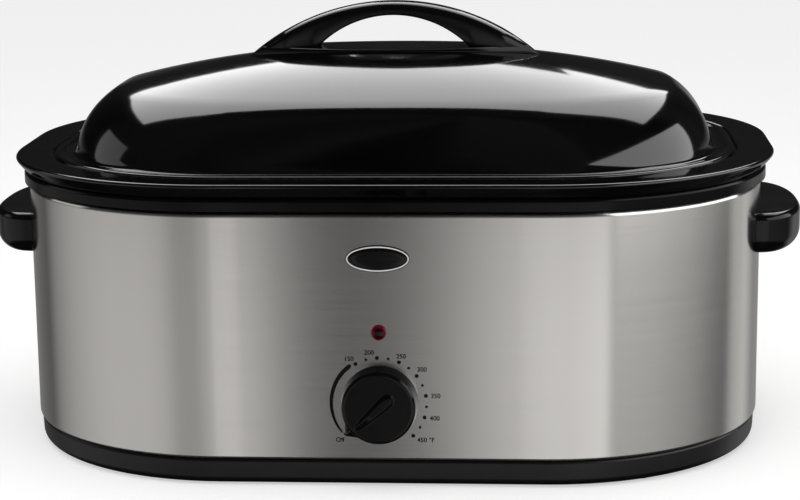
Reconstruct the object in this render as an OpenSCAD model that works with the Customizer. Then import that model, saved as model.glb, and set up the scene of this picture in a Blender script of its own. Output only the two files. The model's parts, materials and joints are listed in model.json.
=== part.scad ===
// Electric roaster oven with a lift-off domed lid, a lift-out pan and a wire rack.
// The front faces -Y, the handles lie along X, and z = 0 is the worktop.
// Every shell follows one oval: u is the distance outwards from the face of the steel wrap.

/* [Body] */
// Length of the steel wrap, end to end
body_length = 556; // [500:1:620]
// Width of the steel wrap, front to back
body_width = 386; // [360:1:430]
// Radius of the four corners of the oval
corner_radius = 162; // [150:1:170]
// Height of the top of the steel wrap above the worktop
wrap_top = 200; // [190:1:230]
// Height of the lower edge of the steel wrap above the worktop
wrap_bottom = 20; // [16:1:24]
// Thickness of the steel wrap
wrap_sheet = 0.8; // [0.6:0.1:1.2]
// Outer radius of the curled top edge of the wrap
wrap_curl = 8; // [5:0.5:10]
// Width of the flat inner flange on top of the wrap
wrap_flange = 7; // [5:0.5:8]
// Width of the hem turned in along the lower edge
wrap_hem = 4; // [3:0.5:5]

/* [Base] */
// Height of the rubber feet under the base ring
foot_height = 3; // [2:0.5:5]
// Diameter of a rubber foot
foot_diameter = 16; // [12:1:16]
// How far the feet stand in from the face of the wrap
foot_inset = 15.5; // [14:0.5:15.5]
// How far the lower edge of the base ring stands in from the wrap
base_inset = 5; // [3:0.5:8]
// How far the top of the base ring stands in from the wrap
base_top_inset = 1.6; // [1.2:0.1:2.4]
// Wall of the base ring
base_wall = 2.5; // [2:0.5:3]
// Width of the floor flange of the base ring
base_flange = 26; // [26:1:32]
// Thickness of the bottom cover
cover_sheet = 0.8; // [0.6:0.1:1.2]
// Width of the bottom cover that lies on the base ring
cover_lap = 7; // [6:0.5:8]
// Number of vent slots in one row
vent_count = 9; // [5:2:11]
// Length of a vent slot
vent_length = 32; // [20:1:40]
// Width of a vent slot
vent_width = 4; // [3:0.5:6]
// Distance between vent slots
vent_pitch = 30; // [20:1:32]
// Distance of each row of vents from the middle
vent_row = 62; // [50:1:80]

/* [Collar] */
// How far the collar stands out from the wrap
collar_out = 3.7; // [2:0.1:5]
// Height of the collar
collar_height = 9; // [7:0.5:12]
// Thickness of the collar
collar_sheet = 1.5; // [1.2:0.1:2]
// Radius of the outer top edge of the collar
collar_radius = 2.5; // [2:0.1:3]

/* [Heating well] */
// How far the face of the well wall lies inside the wrap
well_inset = 34; // [34:0.5:40]
// Depth of the well below the top of the wrap
well_depth = 152; // [140:1:158]
// Thickness of the well sheet
well_sheet = 0.8; // [0.6:0.1:1.2]
// Radius between the wall and the floor of the well
well_radius = 24; // [16:1:30]
// How far the well flange reaches out under the collar
well_flange_out = 9; // [7:0.5:12]

/* [Pan] */
// Thickness of the enamelled pan sheet
pan_sheet = 1.2; // [1:0.1:1.6]
// Height of the top of the pan rim above the collar
rim_height = 11; // [9:0.5:14]
// How far the pan rim stands out from the wrap
rim_out = 9.4; // [7:0.2:13]
// Outer radius of the nose of the rim
rim_nose = 3.2; // [2.4:0.2:4]
// Angle at which the lip under the rim turns back in
lip_angle = 40; // [30:1:50]
// How far the top of the pan wall lies inside the wrap
pan_inset = 38; // [38:0.5:42]
// Extra inset of the pan wall at its foot
pan_draft = 6; // [4:0.5:8]
// Depth of the step in the rim that the lid sits in
lid_recess = 2.5; // [2:0.1:3.5]
// How far that step lies inside the wrap
recess_inset = 18; // [16:0.5:18]
// Depth of the pan below its rim
pan_depth = 162; // [150:1:164]
// Radius between the wall and the floor of the pan
pan_radius = 22; // [16:1:26]
// Radius between the wall and the rim of the pan
pan_shoulder = 5; // [4:0.5:6]

/* [Lid] */
// Thickness of the lid sheet
lid_sheet = 1.2; // [1:0.1:1.6]
// How far the edge of the lid lies inside the wrap
lid_edge_inset = 20; // [18:0.5:24]
// How far the foot of the dome lies inside the wrap
dome_inset = 35.5; // [34:0.5:37]
// Height of the raised bead along the edge of the lid
lid_bead = 4.6; // [4:0.1:6]
// Width of the raised bead along the edge of the lid
lid_bead_width = 6; // [5:0.5:7]
// Radius of the shoulder of the dome
dome_shoulder = 60; // [50:1:70]
// How far the centre of the shoulder lies below the seat of the lid
shoulder_drop = 4; // [2:1:10]
// Slope of the dome where the shoulder meets the crown
crown_slope = 30; // [24:1:36]
// Height of the top of the dome above the seat of the lid
dome_height = 75; // [70:1:90]
// Fullness of the crown
crown_fullness = 2.1; // [1.9:0.05:2.6]

/* [Lid handle] */
// Length of the lid handle
grip_length = 225; // [200:1:250]
// Height of the top of the handle above the dome
grip_rise = 35; // [30:1:45]
// Half length of the finger opening at its floor
grip_hole_half = 58; // [45:1:62]
// Height of the top of the finger opening above the dome
grip_hole_rise = 25; // [20:1:27]
// Height of the base of the handle above the dome
grip_base_rise = 3; // [2:0.5:4]
// Width of the base of the handle at its middle
grip_base_width = 62; // [50:1:70]
// Width of the arch of the handle
grip_arch_width = 28; // [22:1:34]
// Distance between the two screws of the lid handle
grip_screw_spacing = 150; // [130:1:170]

/* [Side handles] */
// Reach of each side handle beyond the wrap
handle_reach = 33; // [30:1:40]
// Width of a side handle, front to back
handle_width = 150; // [120:1:170]
// Height of a side handle
handle_height = 31; // [28:1:36]
// Height of the lower edge of a side handle above the worktop
handle_bottom = 144; // [130:1:150]
// Thickness of the side handle over the fingers and against the wrap
handle_wall = 4; // [3:0.5:5]
// Thickness of the bar that the fingers close round
handle_bar = 14; // [12:1:16]
// Length of the finger slot in a side handle
handle_slot = 92; // [80:1:96]
// Radius of the corners of the handle in plan
handle_corner = 24; // [18:1:28]
// Radius of the lower outer edge of the handle
handle_under = 15; // [10:1:20]
// Distance between the two screws of a side handle
handle_screw_spacing = 116; // [90:1:120]

/* [Controls] */
// Height of the knob axis above the worktop
knob_z = 62; // [58:1:70]
// Diameter of the knob at its foot
knob_diameter = 52; // [44:1:56]
// Diameter of the front face of the knob
knob_face = 43; // [38:1:46]
// Depth of the round body of the knob
knob_depth = 14; // [12:0.5:18]
// How far the grip bar stands out from the face of the knob
knob_bar = 6; // [4:0.5:8]
// Radius that the nose of the knob reaches to
knob_nose = 31.5; // [28:0.5:34]
// Dial angle of the off position, to the left of straight down
knob_off_angle = 47; // [40:1:60]
// Diameter of the thermostat shaft
shaft_diameter = 6; // [5:0.5:7]
// Depth of the flat on the shaft
shaft_flat = 1.5; // [1:0.25:2]
// Height of the lamp above the worktop
lamp_z = 113.5; // [105:0.5:120]
// Diameter of the red lens
lamp_diameter = 11; // [8:0.5:14]
// Height of the badge above the worktop
badge_z = 166.5; // [150:0.5:175]
// Length of the oval badge
badge_length = 45; // [36:1:56]
// Height of the oval badge
badge_height = 19; // [14:1:24]

/* [Heater] */
// Diameter of the sheathed heating element
element_diameter = 6.5; // [5:0.5:8]
// Height of the heating element above the worktop
element_z = 84; // [80:1:100]
// Gap between the two ends of the element at the back
element_gap = 60; // [50:1:80]
// Thickness of the insulation round the well
blanket_thick = 11; // [8:0.5:12]
// Height of the lower edge of the insulation
blanket_bottom = 52; // [50:1:60]
// Height of the insulation
blanket_height = 130; // [100:1:135]

/* [Rack] */
// Diameter of the rack's rim wire
rack_wire = 5; // [4:0.5:6]
// Diameter of the rack's cross wires
rack_bar_wire = 3.5; // [3:0.5:4]
// Number of cross wires
rack_bar_count = 11; // [7:2:13]
// Distance between cross wires
rack_bar_pitch = 32; // [26:1:34]
// How far the rim wire lies inside the wrap
rack_inset = 66; // [62:1:72]
// Height of the rack above the pan floor
rack_rise = 14; // [10:1:20]
// Height of the rack's handles
rack_handle_rise = 40; // [34:1:44]
// Width of the rack's handles
rack_handle_width = 60; // [50:1:62]

/* [Fits] */
// Gap between pieces that lift apart
lift_gap = 0.3; // [0.2:0.05:0.5]
// Gap between fixed pieces
seat_gap = 0.2; // [0.1:0.05:0.3]
// Running gap of the shaft in its bearing
bearing_gap = 0.05; // [0.02:0.01:0.1]
// Gap of a screw in the hole that it passes through
screw_gap = 0.35; // [0.2:0.05:0.5]
// Diameter of the screws
screw_diameter = 4; // [3:0.5:5]

/* [Hidden] */
$fn = 64;

// The oval: flat sides and ends between four large corner arcs
half_length = body_length / 2;
half_width = body_width / 2;
corner_x = half_length - corner_radius;
corner_y = half_width - corner_radius;

// Heights that follow from the sizes above
base_bottom = foot_height;
collar_top = wrap_top + collar_height;
rim_top = collar_top + rim_height;
lid_seat = rim_top - lid_recess + lift_gap;
dome_top = lid_seat + dome_height;
pan_floor = rim_top - pan_depth;
well_floor = wrap_top - well_depth;
rack_z = pan_floor + pan_sheet + lift_gap + rack_rise;
screw_r = screw_diameter / 2;

// ---- Oval helpers -------------------------------------------------------

// The children's outline, drawn in u and z, carried once round the oval
module sweep_round() {
    for (i = [0:3]) translate(corner_places[i]) rotate(90 * i)
        rotate_extrude(angle = 90, $fn = 96) translate([corner_radius, 0]) children();
    for (half_turn = [0, 180]) rotate(half_turn) {
        translate([-corner_x, half_width, 0]) rotate([90, 0, 90])
            linear_extrude(2 * corner_x) children();
        translate([half_length, corner_y, 0]) rotate([90, 0, 0])
            linear_extrude(2 * corner_y) children();
    }
}
corner_places = [[corner_x, corner_y], [-corner_x, corner_y], [-corner_x, -corner_y],
                 [corner_x, -corner_y]];

// What a sweep leaves open inside the corner centres, for floors that start at u = -corner_radius
module oval_core(z, thick) translate([-corner_x, -corner_y, z])
    cube([2 * corner_x, 2 * corner_y, thick]);

// The outline of the whole oval at u
module oval_shape(u) {
    for (place = corner_places) translate(place) circle(corner_radius + u, $fn = 96);
    square([2 * corner_x, 2 * (half_width + u)], center = true);
    square([2 * (half_length + u), 2 * corner_y], center = true);
}

// The outline of a strip of bent sheet, from the corner points of its middle line; bend is the
// radius of every corner, or a list with one radius for each corner
module bent_strip(path, bend, thick)
    polygon(concat(strip_side(path, bend, thick / 2), backwards(strip_side(path, bend, -thick / 2))));
function strip_side(path, bend, d) = let (last = len(path) - 1) concat(
    [path[0] + along(run_angle(path, 0) + 90, d)],
    [for (i = [1:last - 1], p = corner_points(path, i, bend_at(bend, i), d)) p],
    [path[last] + along(run_angle(path, last - 1) + 90, d)]);
// The round corner i, d to the left of the middle line
function corner_points(path, i, radius, d) =
    let (turn = turn_angle(path, i), side = sign(turn), from = run_angle(path, i - 1),
         outward = from - side * 90, steps = ceil(abs(turn) / bend_step),
         centre = path[i] - along(from, radius * tan(abs(turn) / 2)) - along(outward, radius))
    [for (k = [0:steps]) centre + along(outward + turn * k / steps, radius - side * d)];
bend_step = 20;
function run_angle(path, i) = atan2(path[i + 1][1] - path[i][1], path[i + 1][0] - path[i][0]);
function wrap_turn(turn) = turn > 180 ? turn - 360 : turn < -180 ? turn + 360 : turn;
function turn_angle(path, i) = wrap_turn(run_angle(path, i) - run_angle(path, i - 1));
function bend_at(bend, i) = is_list(bend) ? bend[i - 1] : bend;
function along(angle, length) = [cos(angle), sin(angle)] * length;
function backwards(list) = [for (i = [len(list) - 1:-1:0]) list[i]];

// Carry the children to the outer face of the wrap at the height z: their +Z then points
// outwards and their +Y upwards. On an end, side is 1 for the right one and -1 for the left.
module on_front(x, z) translate([x, -half_width, z]) rotate([90, 0, 0]) children();
module on_back(x, z) rotate(180) on_front(-x, z) children();
module on_end(side, y, z) rotate(side > 0 ? 0 : 180)
    translate([half_length, side * y, z]) rotate([90, 0, 90]) children();

// The point of the oval at u whose face looks in the direction a
function oval_point(a, u) = corner_places[floor(a / 90) % 4] + along(a, corner_radius + u);
// Half the width of the oval at x, at u
function oval_y(x, u) = abs(x) < corner_x ? half_width + u
    : corner_y + sqrt((corner_radius + u)^2 - (abs(x) - corner_x)^2);

// ---- Shell round the outside --------------------------------------------

// Round holes through the wrap and what lies against its inner face
knob_hole_r = shaft_diameter / 2 + 2;
lamp_hole_r = lamp_diameter / 2 - 1.3;
gland_z = 46;
gland_r = 8;
bracket_screw_x = 19.2;
module front_hole(x, z, radius) on_front(x, z) cylinder(h = 12, r = radius, center = true);
handle_screw_z = handle_bottom + handle_height / 2;
handle_screw_angle = asin((handle_screw_spacing / 2 - corner_y) / corner_radius);
// Carries the children to the four side handle screws: +Z points outwards, square to the wrap
module at_handle_screws(sides = [-1, 1]) for (side = sides, end = [-1, 1])
    scale([side, 1, 1]) translate([corner_x, end * corner_y, handle_screw_z])
        rotate(end * handle_screw_angle) translate([corner_radius, 0, 0]) rotate([90, 0, 90])
            children();
module wrap_holes() {
    front_hole(0, knob_z, knob_hole_r);
    front_hole(0, lamp_z, lamp_hole_r);
    for (x = [-1, 1]) front_hole(x * bracket_screw_x, knob_z, screw_r + screw_gap);
    on_back(0, gland_z) cylinder(h = 12, r = gland_r + seat_gap, center = true);
    at_handle_screws() cylinder(h = 12, r = screw_r + screw_gap, center = true);
}

module steel_wrap() color([0.62, 0.61, 0.59]) difference() {
    sweep_round() wrap_outline();
    wrap_holes();
}
module wrap_outline() {
    mid = wrap_sheet / 2;
    square_foot = [-wrap_hem, wrap_bottom + mid];
    bent_strip([square_foot, [-mid, wrap_bottom + mid], [-mid, wrap_top - mid],
                [-wrap_curl - wrap_flange, wrap_top - mid]],
               [hem_bend, wrap_curl - mid], wrap_sheet);
}
hem_bend = 2;

module top_collar() color([0.03, 0.03, 0.03]) sweep_round() collar_outline();
module collar_outline() {
    mid = collar_sheet / 2;
    rib_u = -wrap_curl - 3;
    bent_strip([[collar_out - mid, wrap_top + seat_gap], [collar_out - mid, collar_top - mid],
                [-well_inset + mid, collar_top - mid]], collar_radius - mid, collar_sheet);
    translate([rib_u - collar_sheet, wrap_top + well_sheet])
        square([collar_sheet, collar_height - well_sheet - mid]);
}

// ---- Base ----------------------------------------------------------------

foot_angle = 62;
foot_places = [for (a = [foot_angle, 180 - foot_angle, 180 + foot_angle, 360 - foot_angle])
    oval_point(a, -foot_inset)];
foot_stem_r = 3.5;
foot_lip_r = 5;
foot_lip_height = 2;
foot_taper = 1;

module rubber_feet() color([0.06, 0.06, 0.06])
    for (place = foot_places) translate(place) {
        cylinder(h = foot_height, r1 = foot_diameter / 2 - foot_taper, r2 = foot_diameter / 2);
        cylinder(h = foot_height + base_wall, r = foot_stem_r);
        translate([0, 0, foot_height + base_wall])
            cylinder(h = foot_lip_height, r1 = foot_lip_r, r2 = foot_stem_r);
    }

module base_ring() color([0.035, 0.035, 0.035]) difference() {
    sweep_round() base_outline();
    for (place = foot_places) translate(place) translate([0, 0, base_bottom - 1])
        cylinder(h = base_wall + 2, r = foot_stem_r + bearing_gap);
    bottom_screw_cuts(screw_r + bearing_gap);
}
base_bend = 5;
base_ledge = wrap_bottom - seat_gap;
base_tongue = 8;
module base_outline() {
    mid = base_wall / 2;
    bent_strip([[-base_inset - base_flange, base_bottom + mid],
                [-base_inset - mid, base_bottom + mid],
                [-base_top_inset - mid, base_ledge - seat_gap * 2]], base_bend, base_wall);
    tongue_u = -wrap_hem - base_wall - 1;
    translate([tongue_u, base_ledge - base_wall]) {
        square([-base_top_inset - tongue_u, base_wall]);
        square([base_wall, base_wall + base_tongue]);
    }
}

cover_edge = -base_inset - base_flange + cover_lap;
bottom_screw_count = 8;
function bottom_screw_spot(i) =
    let (a = 360 * (i + 0.5) / bottom_screw_count)
    oval_point(a, cover_edge - cover_lap / 2);

module bottom_screw_cuts(radius)
    for (i = [0:bottom_screw_count - 1]) translate(bottom_screw_spot(i))
        translate([0, 0, base_bottom - 4]) cylinder(h = base_wall + 8, r = radius);

cover_z = base_bottom - cover_sheet;
module bottom_cover() color([0.55, 0.56, 0.57]) difference() {
    union() {
        sweep_round() translate([-corner_radius, cover_z])
            square([corner_radius + cover_edge, cover_sheet]);
        oval_core(cover_z, cover_sheet);
    }
    bottom_screw_cuts(screw_r + screw_gap);
    for (i = [0:vent_count - 1], side = [-1, 1])
        translate([(i - (vent_count - 1) / 2) * vent_pitch, side * vent_row, cover_z - 1])
            linear_extrude(cover_sheet + 2) vent_slot();
}
module vent_slot() {
    square([vent_width, vent_length - vent_width], center = true);
    for (end = [-0.5, 0.5]) translate([0, end * (vent_length - vent_width)])
        circle(vent_width / 2);
}

// A pan head screw: its shank points along +Z from the bearing face of the head
module screw(length, head_r, head_height) {
    cylinder(h = length, r = screw_r);
    translate([0, 0, -head_height]) cylinder(h = head_height, r1 = head_r * 0.75, r2 = head_r);
}
bottom_screw_bite = 3;
module bottom_screws() color([0.7, 0.7, 0.7])
    for (i = [0:bottom_screw_count - 1]) translate(bottom_screw_spot(i)) translate([0, 0, cover_z])
        screw(cover_sheet + base_wall + bottom_screw_bite, 3.6, 1.6);

// ---- Heating well and what surrounds it ---------------------------------

module heating_well() color([0.6, 0.61, 0.62]) {
    sweep_round() well_outline();
    oval_core(well_floor, well_sheet);
}
module well_outline() {
    mid = well_sheet / 2;
    bent_strip([[-well_flange_out, wrap_top + mid], [-well_inset - mid, wrap_top + mid],
                [-well_inset - mid, well_floor + mid], [-corner_radius, well_floor + mid]],
               [3, well_radius - 1], well_sheet);
}

element_u = -well_inset + element_diameter / 2 + seat_gap;
module heating_element() color([0.25, 0.24, 0.24]) difference() {
    sweep_round() translate([element_u, element_z]) circle(element_diameter / 2);
    translate([-element_gap / 2, 0, element_z - element_diameter])
        cube([element_gap, body_width, 2 * element_diameter]);
}

terminal_pin_r = 1.6;
terminal_length = 18;
terminal_post = 14;
terminal_x = element_gap / 2 - terminal_length / 2 - seat_gap;
// A pin in line with each end of the element, and the post on it that takes the lead
module element_terminals() color([0.75, 0.7, 0.5])
    for (side = [-1, 1]) translate([side * terminal_x, half_width + element_u - 0.3, element_z]) {
        rotate([0, 90, 0]) cylinder(h = terminal_length, r = terminal_pin_r, center = true);
        translate([-side * terminal_length / 3, 0, 0]) rotate([-90, 0, 0])
            cylinder(h = terminal_post, r = terminal_pin_r);
    }

clip_wall = 0.8;
clip_tab = 7;
clip_width = 10;
clip_r = element_diameter / 2 + 0.1;
module element_clips() color([0.7, 0.71, 0.72]) {
    for (x = [-1, 1] * corner_x * 0.6) {
        on_front(x, element_z) element_clip();
        on_back(x, element_z) element_clip();
    }
    for (side = [-1, 1]) on_end(side, 0, element_z) element_clip();
}
// A saddle over the element, its tabs flat against the well
module element_clip() translate([0, 0, -well_inset + seat_gap / 2]) rotate([0, -90, 0])
    linear_extrude(clip_width, center = true) {
        difference() {
            union() {
                translate([element_diameter / 2 + seat_gap / 2, 0]) circle(clip_r + clip_wall);
                translate([0, -clip_r - clip_wall])
                    square([element_diameter / 2, 2 * (clip_r + clip_wall)]);
                translate([0, -clip_r - clip_tab]) square([clip_wall, 2 * clip_r + 2 * clip_tab]);
            }
            translate([element_diameter / 2 + seat_gap / 2, 0]) circle(clip_r);
            translate([-1, -clip_r]) square([element_diameter / 2 + 1, 2 * clip_r]);
        }
    }

blanket_inner = -well_inset + element_diameter + clip_wall + 2 * seat_gap;
module insulation_blanket() color([0.86, 0.82, 0.66]) difference() {
    sweep_round() translate([blanket_inner, blanket_bottom]) square([blanket_thick, blanket_height]);
    front_window();
    back_window();
}
window_half = 40;
module front_window() translate([-window_half, -half_width, 0])
    cube([2 * window_half, well_inset + 10, lamp_z + 16]);
module back_window() translate([-window_half, half_width - well_inset - 10, 0])
    cube([2 * window_half, well_inset + 10, element_z + 14]);

// ---- Thermostat ----------------------------------------------------------

bracket_sheet = 1.5;
bracket_size = [58, 46];
thermostat_size = [30, 36, 15];
bracket_arm = 10;
bracket_in = wrap_sheet + 0.4;
thermostat_in = bracket_in + bracket_sheet + 1;
thermostat_boss = [9, 0.9];
panel_screw_head = [2.7, 1.4];

module thermostat_bracket() color([0.72, 0.73, 0.74]) on_front(0, knob_z) difference() {
    union() {
        translate([-bracket_size[0] / 2, -bracket_size[1] / 2, -bracket_in - bracket_sheet])
            cube([bracket_size[0], bracket_size[1], bracket_sheet]);
        for (side = [-1, 1]) scale([side, 1, 1])
            translate([thermostat_size[0] / 2 + seat_gap, -thermostat_size[1] / 2,
                       -bracket_in - bracket_arm])
                cube([bracket_sheet, thermostat_size[1], bracket_arm - seat_gap]);
    }
    cylinder(h = 4 * bracket_arm, r = shaft_r + 1.2, center = true);
    for (x = [-1, 1]) translate([x * bracket_screw_x, 0, 0])
        cylinder(h = 4 * bracket_arm, r = screw_r + bearing_gap, center = true);
}

module thermostat_screws() color([0.7, 0.7, 0.7])
    for (x = [-1, 1]) on_front(x * bracket_screw_x, knob_z) {
        translate([0, 0, seat_gap / 2]) cylinder(h = panel_screw_head[1], r = panel_screw_head[0]);
        translate([0, 0, -bracket_in - bracket_sheet - 0.5])
            cylinder(h = bracket_in + bracket_sheet + 0.5 + seat_gap, r = screw_r);
    }

module thermostat_body() color([0.86, 0.83, 0.74]) on_front(0, knob_z) difference() {
    translate([0, 0, -thermostat_in - thermostat_size[2]]) union() {
        translate([-thermostat_size[0] / 2, -thermostat_size[1] / 2, 0]) cube(thermostat_size);
        translate([0, 0, thermostat_size[2]]) cylinder(h = thermostat_boss[1], r = thermostat_boss[0]);
    }
    translate([0, 0, -thermostat_in - shaft_in - seat_gap])
        cylinder(h = 2 * shaft_in, r = shaft_r + bearing_gap);
}

bulb_r = 2.5;
bulb_length = 56;
bulb_z = 67;
bulb_u = -well_inset + seat_gap + bulb_r;
module thermostat_bulb() color([0.72, 0.45, 0.3]) on_front(0, bulb_z) {
    translate([-bulb_length / 2, 0, bulb_u]) rotate([0, 90, 0]) cylinder(h = bulb_length, r = bulb_r);
    for (end = [-0.5, 0.5]) translate([end * bulb_length, 0, bulb_u]) sphere(bulb_r);
    translate([thermostat_size[0] / 4, 0, bulb_u])
        cylinder(h = -bulb_u - thermostat_in - thermostat_size[2] - seat_gap, r = 0.8);
}

// The shaft turns in the thermostat and carries the knob on its flat
shaft_r = shaft_diameter / 2;
shaft_out = 12;
shaft_in = 8.8;
flat_y = shaft_r - shaft_flat;
flat_start = 3;
module thermostat_shaft() color([0.78, 0.72, 0.5]) on_front(0, knob_z) knob_turn() difference() {
    translate([0, 0, -thermostat_in - shaft_in])
        cylinder(h = thermostat_in + shaft_in + shaft_out, r = shaft_r);
    translate([-shaft_r, flat_y, flat_start]) cube([2 * shaft_r, shaft_r, shaft_out]);
}
// Turns the knob's own up direction to the off position
module knob_turn() rotate(180 - knob_off_angle) children();

knob_gap = 0.8;
knob_wall = 2.2;
knob_edge = 3.2;
hub_r = 6.2;
clip_leaf = [4, 0.5, 8];
module control_knob() color([0.04, 0.04, 0.04]) on_front(0, knob_z) knob_turn() difference() {
    union() {
        rotate_extrude() intersection() {
            knob_section();
            square([knob_diameter, knob_gap + knob_depth]);
        }
        difference() {
            knob_grip();
            translate([0, 0, knob_gap - 1])
                cylinder(h = knob_depth - knob_wall / 2 + 1, r = knob_diameter / 2 - 3.5);
        }
        translate([0, 0, flat_start]) cylinder(h = knob_depth + knob_gap - flat_start - 1, r = hub_r);
    }
    translate([0, 0, 2]) linear_extrude(shaft_out) intersection() {
        circle(shaft_r + 0.1);
        translate([-shaft_r - 1, -shaft_r - 1])
            square([2 * shaft_r + 2, shaft_r + 1 + flat_y + clip_leaf[1] + seat_gap]);
    }
}
// Wall and front face of the knob, half of its section
module knob_section() {
    mid = knob_wall / 2;
    bent_strip([[knob_diameter / 2 - mid, knob_gap - 1], [knob_face / 2 - mid, knob_gap + knob_depth - mid],
                [-1, knob_gap + knob_depth - mid]], knob_edge - mid, knob_wall);
}
// The raised grip, which narrows from its round end to the nose that points at the dial
grip_end_y = -9;
grip_end_r = 5;
nose_tip_r = 1.6;
module knob_grip() intersection() {
    translate([0, 0, knob_gap]) linear_extrude(knob_depth + knob_bar)
        tapered_bar(grip_end_y, grip_end_r + 2, knob_nose - nose_tip_r, nose_tip_r);
    rotate([0, -90, 0]) linear_extrude(knob_diameter, center = true) grip_side();
}
// Side view of the grip: x is the distance from the panel, y runs towards the nose
module grip_side() {
    top = knob_gap + knob_depth + knob_bar;
    polygon([[knob_gap, grip_end_y - 9], [top - 0.6, grip_end_y - 9], [top, grip_end_y + 2],
             [top - 1.5, 8], [knob_gap + 5, knob_nose + 1], [knob_gap, knob_nose + 1]]);
}
// Two circles on the y axis, joined by their common tangents
module tapered_bar(y1, r1, y2, r2) {
    lean = asin((r1 - r2) / (y2 - y1));
    translate([0, y1]) circle(r1);
    translate([0, y2]) circle(r2);
    polygon([[r1 * cos(lean), y1 + r1 * sin(lean)], [r2 * cos(lean), y2 + r2 * sin(lean)],
             [-r2 * cos(lean), y2 + r2 * sin(lean)], [-r1 * cos(lean), y1 + r1 * sin(lean)]]);
}
module knob_spring_clip() color([0.75, 0.76, 0.78]) on_front(0, knob_z) knob_turn()
    translate([-clip_leaf[0] / 2, flat_y + 0.1, flat_start + seat_gap]) cube(clip_leaf);

// ---- Lamp, badge and inlet ----------------------------------------------

lamp_stem_r = lamp_hole_r - seat_gap;
lamp_stem = 6;
lamp_dome = 3.2;
module lamp_lens() color([0.45, 0.03, 0.05]) on_front(0, lamp_z) {
    translate([0, 0, -lamp_stem]) cylinder(h = lamp_stem + seat_gap, r = lamp_stem_r);
    translate([0, 0, seat_gap / 2]) rotate_extrude() intersection() {
        square([lamp_diameter / 2, lamp_dome]);
        translate([0, lamp_dome - lamp_diameter]) circle(lamp_diameter);
    }
}
lamp_holder_r = 7;
lamp_holder_depth = 17;
module lamp_holder() color([0.85, 0.84, 0.8]) on_front(0, lamp_z)
    translate([0, 0, -wrap_sheet - seat_gap - lamp_holder_depth]) difference() {
        cylinder(h = lamp_holder_depth, r = lamp_holder_r);
        translate([0, 0, 4]) cylinder(h = lamp_holder_depth, r = lamp_stem_r + seat_gap);
    }

badge_thick = 1.2;
badge_border = 1.3;
badge_raise = 0.5;
module ellipse_plate(length, height, thick) linear_extrude(thick)
    polygon([for (a = [0:6:354]) [cos(a) * length / 2, sin(a) * height / 2]]);
module badge_plate() color([0.05, 0.05, 0.05]) on_front(0, badge_z) translate([0, 0, seat_gap / 2]) {
    ellipse_plate(badge_length, badge_height, badge_thick);
    difference() {
        ellipse_plate(badge_length, badge_height, badge_thick + badge_raise);
        ellipse_plate(badge_length - 2 * badge_border, badge_height - 2 * badge_border, 10);
    }
}

block_size = [44, 22, 15];
block_bore_r = 3;
block_bore_pitch = 13;
block_floor = 6;
block_y = half_width - 81;
module terminal_block() color([0.9, 0.88, 0.8]) translate([0, block_y, base_bottom + seat_gap / 2])
    difference() {
        translate([-block_size[0] / 2, -block_size[1] / 2, 0]) cube(block_size);
        for (i = [-1, 0, 1]) translate([i * block_bore_pitch, 0, block_floor])
            cylinder(h = block_size[2], r = block_bore_r);
    }

gland_flange_r = 11.5;
gland_bore_r = 4.2;
gland_flange = 3;
gland_nose = 13.4;
gland_thread = 10;
gland_taper = 1.5;
nut_height = 5;
module cord_gland() color([0.05, 0.05, 0.05]) on_back(0, gland_z) difference() {
    union() {
        translate([0, 0, -gland_thread]) cylinder(h = gland_thread + seat_gap, r = gland_r);
        translate([0, 0, seat_gap / 2])
            cylinder(h = gland_flange, r1 = gland_flange_r, r2 = gland_flange_r - gland_taper);
        cylinder(h = gland_nose, r1 = gland_r, r2 = gland_r - gland_taper);
    }
    cylinder(h = 3 * gland_nose, r = gland_bore_r, center = true);
}
module gland_nut() color([0.08, 0.08, 0.08]) on_back(0, gland_z)
    translate([0, 0, -wrap_sheet - seat_gap - nut_height]) difference() {
        cylinder(h = nut_height, r = gland_flange_r, $fn = 6);
        translate([0, 0, -1]) cylinder(h = nut_height + 2, r = gland_r + bearing_gap);
    }

// ---- Side handles --------------------------------------------------------

handle_out = half_length + handle_reach;
module side_handle() difference() {
    intersection() {
        translate([0, 0, handle_bottom]) linear_extrude(handle_height) handle_plan();
        rotate([90, 0, 0]) linear_extrude(handle_width + 2, center = true) handle_profile();
    }
    translate([0, 0, handle_bottom - 1]) linear_extrude(handle_height + 2) oval_shape(seat_gap);
    finger_slot();
    at_handle_screws([1])
        cylinder(h = 2 * handle_screw_depth, r = screw_r + bearing_gap, center = true);
}
handle_screw_depth = 15;
module handle_plan() {
    straight = handle_width - 2 * handle_corner;
    root_x = half_length - 30;
    translate([root_x, -handle_width / 2]) square([handle_out - handle_corner - root_x, handle_width]);
    translate([root_x, -straight / 2]) square([handle_out - root_x, straight]);
    for (y = [-0.5, 0.5]) translate([handle_out - handle_corner, y * straight]) circle(handle_corner);
}
// Side view: a small radius above and a large one below
handle_over = 4;
module handle_profile() {
    root_x = half_length - 40;
    translate([root_x, handle_bottom])
        square([handle_out - handle_under - root_x, handle_height - handle_over]);
    translate([root_x, handle_bottom + handle_under])
        square([handle_out - root_x, handle_height - handle_over - handle_under]);
    translate([root_x, handle_bottom + handle_under])
        square([handle_out - handle_over - root_x, handle_height - handle_under]);
    translate([handle_out - handle_under, handle_bottom + handle_under]) circle(handle_under);
    translate([handle_out - handle_over, handle_bottom + handle_height - handle_over])
        circle(handle_over);
}
slot_end_r = 6;
module finger_slot() {
    near = half_length + seat_gap + handle_wall;
    far = handle_out - handle_bar;
    half = handle_slot / 2;
    translate([0, 0, handle_bottom - 1]) linear_extrude(handle_height + 1 - handle_wall) {
        translate([near, -half + slot_end_r]) square([far - near, handle_slot - 2 * slot_end_r]);
        translate([near + slot_end_r, -half]) square([far - near - 2 * slot_end_r, handle_slot]);
        for (x = [near + slot_end_r, far - slot_end_r], y = [-1, 1])
            translate([x, y * (half - slot_end_r)]) circle(slot_end_r);
    }
}
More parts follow.
